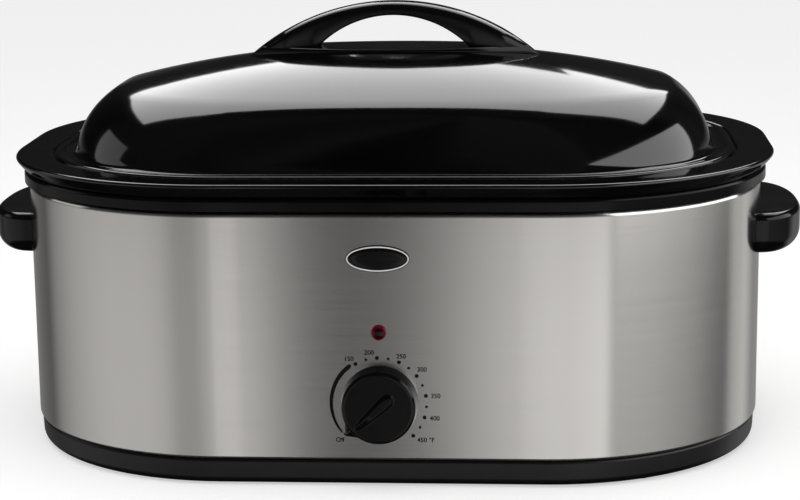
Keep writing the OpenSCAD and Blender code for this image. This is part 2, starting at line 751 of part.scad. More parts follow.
module right_side_handle() color([0.035, 0.035, 0.035]) side_handle();
module left_side_handle() color([0.035, 0.035, 0.035]) mirror([1, 0, 0]) side_handle();

plate_sheet = 1.5;
plate_height = 22;
plate_margin = 9;
plate_in = wrap_sheet + seat_gap + plate_sheet;
plate_length = handle_screw_spacing + 2 * plate_margin;
// Two straps inside the wrap, bent to its curve, that spread the pull of the handles
module side_handle_plates() color([0.7, 0.71, 0.72]) difference() {
    intersection() {
        sweep_round() translate([-plate_in, handle_screw_z - plate_height / 2])
            square([plate_sheet, plate_height]);
        for (side = [-1, 1]) translate([side * half_length, 0, handle_screw_z])
            cube([2 * well_inset, plate_length, 2 * plate_height], center = true);
    }
    at_handle_screws() cylinder(h = 20, r = screw_r + screw_gap, center = true);
}
module side_handle_screws() color([0.7, 0.7, 0.7]) at_handle_screws()
    translate([0, 0, -plate_in - seat_gap])
        screw(plate_in + seat_gap + handle_screw_depth - 1, 3.8, 2.4);

// ---- Roasting pan and rack ----------------------------------------------

// Width of the hem under the rim that lies on the collar
rim_hem = 5;
tight_bend = 1.2;
module roasting_pan() color([0.03, 0.03, 0.035]) {
    sweep_round() pan_outline();
    oval_core(pan_floor, pan_sheet);
}
module pan_outline() {
    mid = pan_sheet / 2;
    rim_line = rim_top - mid;
    seat_line = rim_line - lid_recess;
    rise = 90 - lip_angle;
    nose_bend = rim_nose - mid;
    nose = [rim_out - rim_nose + nose_bend * tan((90 + lip_angle) / 2), rim_line];
    lip_end = collar_top + lift_gap + mid;
    lip = nose - along(rise, (rim_line - lip_end) / sin(rise));
    step = lid_recess * 0.6;
    wall_u = -pan_inset - mid;
    bent_strip([lip - [rim_hem, 0], lip, nose, [-recess_inset + step, rim_line], [-recess_inset, seat_line],
                [wall_u, seat_line], [wall_u - pan_draft, pan_floor + mid],
                [-corner_radius, pan_floor + mid]],
               [tight_bend, nose_bend, tight_bend, tight_bend, pan_shoulder - mid, pan_radius - 2 * mid],
               pan_sheet);
}

rack_wire_r = rack_wire / 2;
rack_bar_r = rack_bar_wire / 2;
rack_loop_bend = 14;
rack_long_y = 50;
rack_leg_x = 150;
rack_half_x = corner_x + sqrt((corner_radius - rack_inset)^2 - (rack_long_y - corner_y)^2);
weld_gap = 0.1;
rack_color = [0.8, 0.8, 0.8];

// The rim wire lies at rack_z; the cross wires are welded on top of it and the loops stand on it
module rack_rim() color(rack_color)
    sweep_round() translate([-rack_inset, rack_z]) circle(rack_wire_r);

module rack_wires() color(rack_color) {
    for (i = [0:rack_bar_count - 1]) rack_bar((i - (rack_bar_count - 1) / 2) * rack_bar_pitch);
    for (y = [-1, 1] * rack_long_y) translate([0, y, rack_z]) rotate([0, 90, 0])
        cylinder(h = 2 * (rack_half_x - rack_wire_r - 1), r = rack_wire_r - weld_gap, center = true);
}
module rack_bar(x) translate([x, 0, rack_z + rack_wire_r + rack_bar_r + weld_gap])
    rotate([90, 0, 0]) cylinder(h = 2 * oval_y(x, -rack_inset), r = rack_bar_r, center = true);

module rack_feet() color(rack_color)
    for (x = [-1, 1] * rack_leg_x, y = [-1, 1] * rack_long_y)
        translate([x, y, rack_z - rack_rise])
            cylinder(h = rack_rise - rack_wire_r - weld_gap / 2, r = rack_wire_r);

module rack_handles() color(rack_color) for (side = [0, 180]) rotate(side)
    translate([half_length - rack_inset, 0, rack_z]) rack_loop();
module rack_loop() {
    half = rack_handle_width / 2;
    top = rack_handle_rise;
    foot = rack_wire_r + weld_gap;
    for (y = [-1, 1]) {
        translate([0, y * half, foot]) cylinder(h = top - rack_loop_bend - foot, r = rack_wire_r);
        translate([0, y * (half - rack_loop_bend), top - rack_loop_bend]) rotate([0, 0, y * 90])
            rotate([90, 0, 0]) rotate_extrude(angle = 90) translate([rack_loop_bend, 0])
                circle(rack_wire_r);
    }
    translate([0, 0, top]) rotate([90, 0, 0])
        cylinder(h = 2 * (half - rack_loop_bend), r = rack_wire_r, center = true);
}

// ---- Lid -----------------------------------------------------------------

shoulder_z = lid_seat - shoulder_drop;
break_u = -dome_inset - dome_shoulder * (1 - sin(crown_slope));
break_z = shoulder_z + dome_shoulder * cos(crown_slope);
break_x = half_length + break_u;
break_y = half_width + break_u;
// Height of the crown at the share s of the way out from its middle
function crown_z(s) = dome_top - (dome_top - break_z) * s^crown_fullness;

// The points of a ring: each corner and the direction of each point on it
corner_steps = 12;
ring_angles = [for (i = [0:3], k = [0:corner_steps]) [i, 90 * (i + k / corner_steps)]];
ring_count = len(ring_angles);
// A ring at u and z: the share s pulls it towards the middle, and w rounds the oval towards a
// superellipse that becomes an ellipse at the crown
function ring(u, z, s, w) = [for (a = ring_angles)
    let (p = corner_places[a[0]] + along(a[1], corner_radius + u),
         n = 2 + s,
         reach = (pow(abs(p[0]) / (half_length + u), n) + pow(abs(p[1]) / (half_width + u), n)) ^ (1 / n),
         q = p * s * (1 - w + w / reach)) [q[0], q[1], z]];

// Section of the lid as [u, z, s, w] from its edge to the crown, inset by the sheet for the inside
bead_mid = -lid_edge_inset - lid_bead_width / 2;
trough = 1.6;
shoulder_steps = 5;
// Thickness of the crown measured straight down, where it slopes a little
crown_sheet = lid_sheet * 1.05;
crown_shares = [0.85, 0.68, 0.5, 0.32, 0.15];
function rim_section(inset) = concat(
    [for (a = inset > 0 ? [12, 90, 150] : [0, 40, 90, 140])
        [bead_mid + cos(a) * (lid_bead_width / 2 - inset),
         lid_seat + sin(a) * (lid_bead - inset) * (inset > 0 ? 0.92 : 1), 1, 0]],
    [[bead_mid - lid_bead_width * 0.6, lid_seat + trough - inset * 0.95, 1, 0],
     [-dome_inset + 1.5, lid_seat + trough - inset * 0.95, 1, 0]]);
function shoulder_section(inset) = let (first = asin((shoulder_drop + 4) / dome_shoulder))
    [for (i = [0:shoulder_steps]) let (a = first + (90 - crown_slope - first) * i / shoulder_steps)
        [-dome_inset - dome_shoulder + cos(a) * (dome_shoulder - inset),
         shoulder_z + sin(a) * (dome_shoulder - inset), 1, i / shoulder_steps]];
function crown_section(inset) = [for (s = crown_shares)
    [break_u - inset * sin(crown_slope), crown_z(s) - inset * crown_sheet / lid_sheet, s, 1]];
function lid_section(inset) = concat(rim_section(inset), shoulder_section(inset), crown_section(inset));

// A shell from an outer and an inner section, each closed by a point at its middle
module lid_shell() {
    outer = lid_section(0);
    inner = backwards(lid_section(lid_sheet));
    n = ring_count;
    top = len(outer);
    all = concat(outer, inner);
    points = concat([for (r = all, p = ring(r[0], r[1], r[2], r[3])) p],
                    [[0, 0, dome_top], [0, 0, dome_top - lid_sheet]]);
    crown = len(points) - 2;
    belts = [for (i = [0:len(all) - 1]) if (i != top - 1) i];
    polyhedron(points, concat(
        [for (i = belts, j = [0:n - 1]) let (k = (j + 1) % n, m = (i + 1) % len(all))
            [i * n + j, m * n + j, m * n + k]],
        [for (i = belts, j = [0:n - 1]) let (k = (j + 1) % n, m = (i + 1) % len(all))
            [i * n + j, m * n + k, i * n + k]],
        [for (j = [0:n - 1]) [(top - 1) * n + j, crown, (top - 1) * n + (j + 1) % n]],
        [for (j = [0:n - 1]) [crown + 1, top * n + j, top * n + (j + 1) % n]]));
}
module lid_dome() color([0.03, 0.03, 0.035]) difference() {
    lid_shell();
    for (side = [-1, 1]) on_crown(side) cylinder(h = 12, r = screw_r + screw_gap, center = true);
}

// Radii of the seat of the lid handle along and across the crown
grip_half = grip_length / 2;
seat_drop = dome_top - crown_z(grip_half / break_x);
seat_r = (grip_half^2 + seat_drop^2) / (2 * seat_drop);
side_drop = dome_top - crown_z(grip_base_width / 2 / break_y);
cross_r = ((grip_base_width / 2)^2 + side_drop^2) / (2 * side_drop);
// Carries the children to a lid handle screw: +Z is square to the crown
module on_crown(side) translate([0, 0, dome_top - seat_r])
    rotate([0, side * asin(grip_screw_spacing / 2 / seat_r), 0]) translate([0, 0, seat_r]) children();

grip_top = dome_top + grip_rise;
grip_foot_z = dome_top - seat_drop;
arch_h = grip_top - grip_foot_z;
arch_r = (grip_half^2 + arch_h^2) / (2 * arch_h);
hole_floor = dome_top + grip_base_rise;
hole_h = grip_hole_rise - grip_base_rise;
hole_r = (grip_hole_half^2 + hole_h^2) / (2 * hole_h);
plan_r = (grip_half^2 + (grip_base_width / 2)^2) / grip_base_width;
arch_crown_r = 34;
grip_screw_depth = 13;
grip_sink = 20;

module lid_handle() color([0.04, 0.04, 0.04]) difference() {
    union() {
        intersection() {
            grip_plan_prism();
            rotate([90, 0, 0]) linear_extrude(grip_arch_width, center = true) arch_side();
            arch_crown();
        }
        intersection() {
            grip_plan_prism();
            rotate([90, 0, 0]) linear_extrude(grip_base_width, center = true) intersection() {
                arch_side();
                translate([-grip_half, dome_top - grip_sink])
                    square([grip_length, grip_sink + grip_base_rise]);
            }
        }
    }
    rotate([90, 0, 0]) linear_extrude(grip_base_width + 2, center = true) intersection() {
        translate([0, hole_floor + hole_h - hole_r]) circle(hole_r, $fn = 180);
        translate([-grip_hole_half - 1, hole_floor]) square([2 * grip_hole_half + 2, hole_h + 1]);
    }
    crown_seat();
    for (side = [-1, 1]) on_crown(side)
        cylinder(h = 2 * grip_screw_depth, r = screw_r + bearing_gap, center = true);
}
// Side view of the handle: everything under its outer arc
module arch_side() intersection() {
    translate([0, grip_top - arch_r]) circle(arch_r, $fn = 360);
    translate([-grip_half, dome_top - grip_sink]) square([grip_length, grip_sink + grip_rise + 1]);
}
// Plan of the handle: two arcs that meet in a point at each end
module grip_plan_prism() translate([0, 0, dome_top - grip_sink])
    linear_extrude(grip_sink + grip_rise + 2) intersection() {
        plan_arc(1);
        plan_arc(-1);
    }
module plan_arc(side) translate([0, side * (plan_r - grip_base_width / 2)]) circle(plan_r, $fn = 360);
// The top of the arch is rounded across as well as along
module arch_crown() translate([0, 0, grip_top - arch_r]) rotate([90, 0, 0])
    rotate(20) rotate_extrude(angle = 140, $fn = 240) intersection() {
        union() {
            translate([arch_r - arch_crown_r, 0]) circle(arch_crown_r);
            translate([1, -arch_crown_r]) square([arch_r - arch_crown_r, 2 * arch_crown_r]);
        }
        translate([1, -arch_crown_r]) square([arch_r, 2 * arch_crown_r]);
    }
// The space below the handle: it follows the crown of the dome both ways
grip_seat_gap = 0.4;
module crown_seat() translate([0, 0, dome_top + grip_seat_gap - seat_r]) rotate([90, 0, 0])
    rotate(80) rotate_extrude(angle = 20, $fn = 720) translate([seat_r - cross_r, 0]) intersection() {
        circle(cross_r, $fn = 720);
        translate([cross_r - grip_base_width, -grip_base_width])
            square([grip_base_width + 1, 2 * grip_base_width]);
    }

washer_r = 8;
washer_thick = 1.2;
washer_in = crown_sheet + 2 * seat_gap + washer_thick;
module lid_handle_washers() color([0.1, 0.1, 0.1]) for (side = [-1, 1]) on_crown(side)
    translate([0, 0, -washer_in]) difference() {
        cylinder(h = washer_thick, r = washer_r);
        translate([0, 0, -1]) cylinder(h = washer_thick + 2, r = screw_r + bearing_gap);
    }
module lid_handle_screws() color([0.75, 0.75, 0.76]) for (side = [-1, 1]) on_crown(side)
    translate([0, 0, -washer_in]) screw(lid_sheet + washer_thick + grip_screw_depth - 1, 4, 2.6);

rubber_feet();
base_ring();
bottom_cover();
bottom_screws();
steel_wrap();
top_collar();
heating_well();
insulation_blanket();
heating_element();
element_clips();
element_terminals();
thermostat_body();
thermostat_bracket();
thermostat_screws();
thermostat_bulb();
lamp_lens();
lamp_holder();
terminal_block();
cord_gland();
gland_nut();
badge_plate();
left_side_handle();
right_side_handle();
side_handle_plates();
side_handle_screws();
thermostat_shaft();
control_knob();
knob_spring_clip();
roasting_pan();
rack_rim();
rack_wires();
rack_feet();
rack_handles();
lid_dome();
lid_handle();
lid_handle_screws();
lid_handle_washers();
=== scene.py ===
"""Electric roaster oven: brushed steel body, black enamelled pan and lid, moulded handles and dial."""
import json
from math import asin, atan2, ceil, copysign, cos, degrees, pi, radians, sin, sqrt, tan

import bmesh
import bpy
from mathutils import Matrix, Vector


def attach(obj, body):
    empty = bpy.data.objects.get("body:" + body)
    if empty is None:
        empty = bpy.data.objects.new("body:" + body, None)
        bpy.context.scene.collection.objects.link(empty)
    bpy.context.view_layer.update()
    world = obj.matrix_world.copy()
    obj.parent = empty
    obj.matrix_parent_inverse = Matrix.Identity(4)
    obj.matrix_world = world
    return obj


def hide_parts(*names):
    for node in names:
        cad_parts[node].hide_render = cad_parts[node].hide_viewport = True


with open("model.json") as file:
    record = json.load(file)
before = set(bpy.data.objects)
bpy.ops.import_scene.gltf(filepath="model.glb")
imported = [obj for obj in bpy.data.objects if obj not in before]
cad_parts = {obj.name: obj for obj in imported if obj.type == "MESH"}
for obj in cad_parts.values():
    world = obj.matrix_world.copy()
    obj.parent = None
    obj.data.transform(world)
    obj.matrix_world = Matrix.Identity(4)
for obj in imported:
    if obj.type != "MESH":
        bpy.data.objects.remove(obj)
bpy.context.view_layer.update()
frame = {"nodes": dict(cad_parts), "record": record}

# ---- Sizes of the oven, in metres ---------------------------------------

HALF_LENGTH = 0.278
HALF_WIDTH = 0.193
CORNER_RADIUS = 0.162
CORNER_X = HALF_LENGTH - CORNER_RADIUS
CORNER_Y = HALF_WIDTH - CORNER_RADIUS
WRAP_TOP = 0.200
WRAP_BOTTOM = 0.020
COLLAR_TOP = 0.209
RIM_TOP = 0.220
LID_SEAT = 0.2178
DOME_TOP = 0.2928
KNOB_Z = 0.062
LAMP_Z = 0.1135
LAMP_R = 0.0055
BADGE_Z = 0.1665
MM = 0.001
FIT_GAP = 0.2 * MM


# ---- Camera ---------------------------------------------------------------

CAMERA_AT = Vector((0.1170, -1.6542, 0.4813))
CAMERA_TARGET = Vector((-0.0053, 0.0, 0.1345))
CAMERA_ROLL = radians(-0.76)
CAMERA_LENS = 96.96
CAMERA_SHIFT = (0.01216, -0.00396)
SENSOR_WIDTH = 36
NEAREST_SEEN = 0.05


def place_camera():
    data = bpy.data.cameras.new("camera")
    data.lens = CAMERA_LENS
    data.sensor_width = SENSOR_WIDTH
    data.shift_x, data.shift_y = CAMERA_SHIFT
    data.clip_start = NEAREST_SEEN
    camera = bpy.data.objects.new("camera", data)
    aim = (CAMERA_TARGET - CAMERA_AT).to_track_quat("-Z", "Y").to_matrix().to_4x4()
    camera.matrix_world = Matrix.Translation(CAMERA_AT) @ aim @ Matrix.Rotation(CAMERA_ROLL, 4, "Z")
    bpy.context.scene.collection.objects.link(camera)
    bpy.context.scene.camera = camera


# ---- Shader maths ---------------------------------------------------------

class Socket:
    """A node's output that takes part in Python expressions, which add Math nodes to its tree."""

    def __init__(self, tree, output):
        self.tree = tree
        self.output = output

    def _math(self, operation, *values):
        return self.tree.node("ShaderNodeMath", *values, operation=operation)

    def __add__(self, other):
        return self._math("ADD", self, other)

    def __radd__(self, other):
        return self._math("ADD", other, self)

    def __sub__(self, other):
        return self._math("SUBTRACT", self, other)

    def __rsub__(self, other):
        return self._math("SUBTRACT", other, self)

    def __mul__(self, other):
        return self._math("MULTIPLY", self, other)

    def __rmul__(self, other):
        return self._math("MULTIPLY", other, self)

    def __truediv__(self, other):
        return self._math("DIVIDE", self, other)

    def __rtruediv__(self, other):
        return self._math("DIVIDE", other, self)

    def __pow__(self, other):
        return self._math("POWER", self, other)

    def part(self, name):
        """Another output of the node that this socket belongs to."""
        return Socket(self.tree, self.output.node.outputs[name])

    def between(self, low, high):
        """0 below low, 1 above high and a smooth step between them."""
        return self.tree.node("ShaderNodeMapRange", self, low, high, 0.0, 1.0,
                              interpolation_type="SMOOTHSTEP")


class Tree:
    """A material's or a world's nodes."""

    def __init__(self, owner):
        owner.use_nodes = True
        self.nodes = owner.node_tree.nodes
        self.links = owner.node_tree.links
        self.nodes.clear()

    def node(self, kind, *values, inputs=None, stops=None, out=0, **settings):
        """Adds a node: its settings first, then values or sockets by place, or by name in inputs."""
        made = self.nodes.new(kind)
        for name, value in settings.items():
            setattr(made, name, value)
        if stops:
            ramp = made.color_ramp
            while len(ramp.elements) > 1:
                ramp.elements.remove(ramp.elements[-1])
            for i, (place, colour) in enumerate(stops):
                stop = ramp.elements[0] if i == 0 else ramp.elements.new(place)
                stop.position = place
                stop.color = colour
        places = list(enumerate(values)) + list((inputs or {}).items())
        for place, value in places:
            target = made.inputs[place]
            if isinstance(value, Socket):
                self.links.new(value.output, target)
            elif value is not None:
                target.default_value = value
        return Socket(self, made.outputs[out]) if made.outputs else made

    def object_point(self):
        return self.node("ShaderNodeTexCoord", out="Object")

    def noise(self, scale, detail=3.0, stretch=(1, 1, 1), rough=0.5):
        """Noise that is fixed to the object, stretched by a scale along each axis."""
        point = self.node("ShaderNodeMapping", self.object_point(), inputs={"Scale": stretch})
        return self.node("ShaderNodeTexNoise", inputs={
            "Vector": point, "Scale": scale, "Detail": detail, "Roughness": rough})

    def mix_colour(self, share, a, b):
        made = self.nodes.new("ShaderNodeMix")
        made.data_type = "RGBA"
        for place, value in ((0, share), (6, a), (7, b)):
            if isinstance(value, Socket):
                self.links.new(value.output, made.inputs[place])
            else:
                made.inputs[place].default_value = value if place == 0 else (*value[:3], 1)
        return Socket(self, made.outputs[2])

    def bump(self, height, strength, distance):
        return self.node("ShaderNodeBump", inputs={
            "Height": height, "Strength": strength, "Distance": distance})


def finish_surface(name, build, **constants):
    """A material: build(tree) gives what varies, by socket name, and constants are the rest."""
    made = bpy.data.materials.new(name)
    tree = Tree(made)
    varied = build(tree)
    surface = tree.node("ShaderNodeBsdfPrincipled", inputs={**constants, **varied})
    tree.node("ShaderNodeOutputMaterial", surface)
    return made


def grey(level):
    return (level, level, level, 1)


# ---- Materials ------------------------------------------------------------

STEEL = (0.62, 0.60, 0.575)


def brushed_steel():
    def build(tree):
        fine = tree.noise(1, 2, stretch=(7, 7, 2600))
        broad = tree.noise(1, 3, stretch=(4, 4, 420))
        streak = fine * 0.6 + broad * 0.4
        return {
            "Base Color": tree.mix_colour(streak, tuple(c * 0.93 for c in STEEL),
                                          tuple(min(c * 1.06, 1) for c in STEEL)),
            "Roughness": 0.15 + streak * 0.08,
            "Normal": tree.bump(streak, 0.09, 0.0001),
        }
    return finish_surface("brushed_steel", build, Metallic=1.0, Anisotropic=0.9,
                          **{"Anisotropic Rotation": 0.25})


def black_enamel():
    def build(tree):
        flow = tree.noise(55, 2)
        speck = tree.noise(2400, 1)
        return {
            "Base Color": tree.mix_colour(speck.between(0.62, 0.72), (0.0012, 0.0012, 0.0013),
                                          (0.004, 0.004, 0.0045)),
            "Roughness": 0.07 + flow * 0.03,
            "Normal": tree.bump(flow, 0.03, 0.0006),
        }
    return finish_surface("black_enamel", build, **{"IOR": 1.55})


def moulded_black(name, roughness=0.26, texture=0.05, grain=900, gloss=0.35):
    def build(tree):
        pebble = tree.noise(grain, 3)
        cloud = tree.noise(30, 2)
        return {
            "Base Color": tree.mix_colour(cloud, (0.0016, 0.0016, 0.0018), (0.0034, 0.0034, 0.0037)),
            "Roughness": roughness + cloud * 0.06,
            "Normal": tree.bump(pebble, texture, 0.0002),
        }
    return finish_surface(name, build, **{"Specular IOR Level": gloss})


def plated_metal(name, colour, roughness=0.3, grain=130, tint=0.85):
    def build(tree):
        spangle = tree.noise(grain, 4)
        return {
            "Base Color": tree.mix_colour(spangle, tuple(c * tint for c in colour), colour),
            "Roughness": roughness + spangle * 0.15,
            "Normal": tree.bump(spangle, 0.05, 0.0002),
        }
    return finish_surface(name, build, Metallic=1.0)


def plain_moulding(name, colour, roughness=0.45):
    def build(tree):
        cloud = tree.noise(160, 3)
        return {
            "Base Color": tree.mix_colour(cloud, tuple(c * 0.9 for c in colour), colour),
            "Roughness": roughness + cloud * 0.1,
            "Normal": tree.bump(cloud, 0.08, 0.0002),
        }
    return finish_surface(name, build)


def glass_wool():
    def build(tree):
        fibre = tree.noise(90, 6, stretch=(1, 1, 4), rough=0.75)
        return {
            "Base Color": tree.mix_colour(fibre, (0.70, 0.62, 0.38), (0.92, 0.88, 0.72)),
            "Roughness": 0.9 + fibre * 0.1,
            "Normal": tree.bump(fibre, 0.6, 0.002),
        }
    return finish_surface("glass_wool", build)


def red_lens():
    def build(tree):
        spot = tree.node("ShaderNodeSeparateXYZ", tree.object_point())
        height = (spot.part("Z") - LAMP_Z) / LAMP_R
        away = (spot * spot / LAMP_R ** 2 + height * height) ** 0.5
        facet = tree.node("ShaderNodeTexVoronoi", inputs={
            "Vector": tree.object_point(), "Scale": 900.0})
        return {
            # Base colour: painted shade in the middle of the lens and a painted crimson glow towards
            # its rim, standing in for light that shows through the lens edge.
            "Base Color": tree.mix_colour(away.between(0.5, 1.0), (0.010, 0.001, 0.002),
                                          (0.15, 0.001, 0.012)),
            "Roughness": 0.10 + facet * 0.05,
            "Normal": tree.bump(facet, 0.08, 0.0003),
        }
    return finish_surface("red_lens", build, **{"Specular IOR Level": 0.2})


def silver_print():
    def build(tree):
        grain = tree.noise(2000, 2)
        return {
            "Base Color": tree.mix_colour(grain, (0.80, 0.80, 0.81), (0.90, 0.90, 0.91)),
            "Roughness": 0.35 + grain * 0.1,
        }
    return finish_surface("silver_print", build, Metallic=0.15)


def printed_ink():
    def build(tree):
        grain = tree.noise(3000, 2)
        return {
            "Base Color": tree.mix_colour(grain, (0.002, 0.002, 0.002), (0.006, 0.006, 0.006)),
            "Roughness": 0.4 + grain * 0.1,
        }
    return finish_surface("printed_ink", build, **{"Specular IOR Level": 0.1})


def make_materials():
    """One material for each of the record's slots."""
    return {
        "brushed_wrap": brushed_steel(),
        "black_enamel": black_enamel(),
        "collar_enamel": moulded_black("collar_enamel", 0.12, 0.03, gloss=0.12),
        "moulded_gloss": moulded_black("moulded_gloss", 0.10, 0.03, gloss=0.22),
        "moulded_base": moulded_black("moulded_base", 0.34, 0.12, 1400),
        "rubber": plain_moulding("rubber", (0.03, 0.03, 0.03), 0.7),
        "plated_sheet": plated_metal("plated_sheet", (0.62, 0.63, 0.64), 0.35),
        "zinc_fastener": plated_metal("zinc_fastener", (0.72, 0.72, 0.72), 0.22, 600),
        "rack_chrome": plated_metal("rack_chrome", (0.78, 0.78, 0.79), 0.08, 300, 0.95),
        "element_sheath": plated_metal("element_sheath", (0.20, 0.19, 0.18), 0.45),
        "brass": plated_metal("brass", (0.72, 0.56, 0.30), 0.3, 300),
        "ceramic": plain_moulding("ceramic", (0.84, 0.80, 0.72), 0.3),
        "glass_wool": glass_wool(),
        "red_lens": red_lens(),
    }


# ---- Mesh helpers -----------------------------------------------------------

SMOOTH_ANGLE = radians(35)


def piece_from_mesh(name, mesh, material, body, replaced=(), smooth=True):
    """Links a finished mesh as a piece that rides on a body and stands for CAD nodes."""
    made = bpy.data.objects.new(name, mesh)
    bpy.context.scene.collection.objects.link(made)
    if not mesh.materials:
        mesh.materials.append(material)
    if smooth:
        smooth_by_angle(mesh)
    if replaced:
        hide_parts(*replaced)
    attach(made, body)
    return made


def smooth_by_angle(mesh, angle=SMOOTH_ANGLE, cap_angle=radians(3)):
    """Smooth faces; sharp edges stay sharp, and so do the borders of flat many-sided faces."""
    work = bmesh.new()
    work.from_mesh(mesh)
    for face in work.faces:
        face.smooth = True
    for edge in work.edges:
        beside_cap = any(len(face.verts) > 4 for face in edge.link_faces)
        limit = cap_angle if beside_cap else angle
        edge.smooth = len(edge.link_faces) == 2 and edge.calc_face_angle(0) < limit
    work.to_mesh(mesh)
    work.free()


def outward(work):
    bmesh.ops.remove_doubles(work, verts=work.verts, dist=1e-6)
    bmesh.ops.recalc_face_normals(work, faces=work.faces)


def mesh_of(work, name):
    mesh = bpy.data.meshes.new(name)
    work.to_mesh(mesh)
    work.free()
    return mesh


def oval_ring(u, share=1, rounding=0, steps=28, side_steps=12):
    """Points of the oval at u: share pulls them to the middle, rounding turns them to an ellipse."""
    radius = CORNER_RADIUS + u
    power = 2 + share
    points = []
    for quarter, (sx, sy) in enumerate(((1, 1), (-1, 1), (-1, -1), (1, -1))):
        for k in range(steps + 1):
            a = pi / 2 * (quarter + k / steps)
            points.append((sx * CORNER_X + radius * cos(a), sy * CORNER_Y + radius * sin(a)))
        following = (-sx * CORNER_X, sy * (HALF_WIDTH + u)) if quarter % 2 == 0 else (
            sx * (HALF_LENGTH + u), -sy * CORNER_Y)
        start = points[-1]
        points += [(start[0] + (following[0] - start[0]) * k / side_steps,
                    start[1] + (following[1] - start[1]) * k / side_steps)
                   for k in range(1, side_steps)]
    ring = []
    for x, y in points:
        reach = ((abs(x) / (HALF_LENGTH + u)) ** power
                 + (abs(y) / (HALF_WIDTH + u)) ** power) ** (1 / power)
        pull = share * (1 - rounding + rounding / reach)
        ring.append((x * pull, y * pull))
    return ring


def lofted(name, section, closed=True, cap=False):
    """A skin round the oval: section lists (u, z) or (u, z, share, rounding) for each ring."""
    work = bmesh.new()
    rings = []
    for u, z, *form in section:
        rings.append([work.verts.new((x, y, z)) for x, y in oval_ring(u, *form)])
    count = len(rings[0])
    last = len(rings) if closed else len(rings) - 1
    for i in range(last):
        low, high = rings[i], rings[(i + 1) % len(rings)]
        for j in range(count):
            k = (j + 1) % count
            work.faces.new((low[j], low[k], high[k], high[j]))
    if cap:
        work.faces.new(rings[0])
        work.faces.new(rings[-1][::-1])
    outward(work)
    return mesh_of(work, name)


def bent_strip(path, bends, thick, step=radians(6)):
    """Outline of a strip of bent sheet along the corner points of its middle line."""
    def run(i):
        (ax, az), (bx, bz) = path[i], path[i + 1]
        return atan2(bz - az, bx - ax)

    def side(offset):
        points = [(path[0][0] - sin(run(0)) * offset, path[0][1] + cos(run(0)) * offset)]
        for i in range(1, len(path) - 1):
            turn = (run(i) - run(i - 1) + pi) % (2 * pi) - pi
            way = copysign(1, turn)
            radius = bends[i - 1]
            out = run(i - 1) - way * pi / 2
            cx = path[i][0] - cos(run(i - 1)) * radius * tan(abs(turn) / 2) - cos(out) * radius
            cz = path[i][1] - sin(run(i - 1)) * radius * tan(abs(turn) / 2) - sin(out) * radius
            steps = max(ceil(abs(turn) / step), 1)
            for k in range(steps + 1):
                a = out + turn * k / steps
                points.append((cx + cos(a) * (radius - way * offset),
                               cz + sin(a) * (radius - way * offset)))
        end = run(len(path) - 2)
        points.append((path[-1][0] - sin(end) * offset, path[-1][1] + cos(end) * offset))
        return points

    return side(thick / 2) + side(-thick / 2)[::-1]


def on_front(x, z, out=0.0):
    """From a piece's own x, y and outward z to a place on the flat front of the body."""
    return Matrix.Translation((x, -HALF_WIDTH - out, z)) @ Matrix.Rotation(pi / 2, 4, "X")


def revolved(name, profile, steps=96, place=None):
    """A solid of revolution from (radius, height) points that start and end on the axis."""
    work = bmesh.new()
    rings = []
    for radius, height in profile:
        if radius == 0:
            rings.append([work.verts.new((0, 0, height))])
        else:
            rings.append([work.verts.new((radius * cos(2 * pi * k / steps),
                                          radius * sin(2 * pi * k / steps), height))
                          for k in range(steps)])
    for low, high in zip(rings, rings[1:]):
        for k in range(steps):
            j = (k + 1) % steps
            corners = [low[k % len(low)], low[j % len(low)], high[j % len(high)], high[k % len(high)]]
            work.faces.new(list(dict.fromkeys(corners)))
    outward(work)
    if place is not None:
        work.transform(place)
    return mesh_of(work, name)


def arc(centre, radius, start, end, step=10):
    """Points on an arc in degrees, both ends included."""
    count = max(ceil(abs(end - start) / step), 1)
    return [(centre[0] + radius * cos(radians(start + (end - start) * k / count)),
             centre[1] + radius * sin(radians(start + (end - start) * k / count)))
            for k in range(count + 1)]


def prism(name, outline, low, high):
    """An outline in x and y between two heights."""
    work = bmesh.new()
    bottom = [work.verts.new((x, y, low)) for x, y in outline]
    top = [work.verts.new((x, y, high)) for x, y in outline]
    work.faces.new(bottom)
    work.faces.new(top)
    for k in range(len(outline)):
        j = (k + 1) % len(outline)
        work.faces.new((bottom[k], bottom[j], top[j], top[k]))
    bmesh.ops.recalc_face_normals(work, faces=work.faces)
    return mesh_of(work, name)


def stand_in(mesh):
    """A passing object that only carries a mesh while modifiers work on it."""
    made = bpy.data.objects.new(mesh.name, mesh)
    bpy.context.scene.collection.objects.link(made)
    return made


def applied(thing):
    """The mesh of a passing object with its modifiers applied; the object goes away."""
    shown = bpy.context.evaluated_depsgraph_get()
    mesh = bpy.data.meshes.new_from_object(thing.evaluated_get(shown))
    bpy.data.objects.remove(thing)
    return mesh


def combined(mesh, other, operation):
    """Two closed meshes made one by a boolean operation."""
    base, tool = stand_in(mesh), stand_in(other)
    cut = base.modifiers.new("cut", "BOOLEAN")
    cut.operation = operation
    cut.solver = "EXACT"
    cut.object = tool
    result = applied(base)
    bpy.data.objects.remove(tool)
    return result


def cast(mesh, voxel, softening):
    """One skin round everything in a mesh, softened as a moulding's edges are."""
    base = stand_in(mesh)
    skin = base.modifiers.new("skin", "REMESH")
    skin.mode = "VOXEL"
    skin.voxel_size = voxel
    soft = base.modifiers.new("soft", "SMOOTH")
    soft.factor = 0.5
    soft.iterations = softening
    return applied(base)


def joined(name, meshes):
    work = bmesh.new()
    for mesh in meshes:
        work.from_mesh(mesh)
    return mesh_of(work, name)


def refined(node, body, slot, materials):
    """A CAD node as a merged, smooth skin with the finish of its slot."""
    mesh = frame["nodes"][node].data.copy()
    mesh.materials.clear()
    work = bmesh.new()
    work.from_mesh(mesh)
    bmesh.ops.remove_doubles(work, verts=work.verts, dist=2e-6)
    work.to_mesh(mesh)
    work.free()
    piece_from_mesh(node + "_skin", mesh, materials[slot], body, [node])


# ---- Geometry Nodes ---------------------------------------------------------

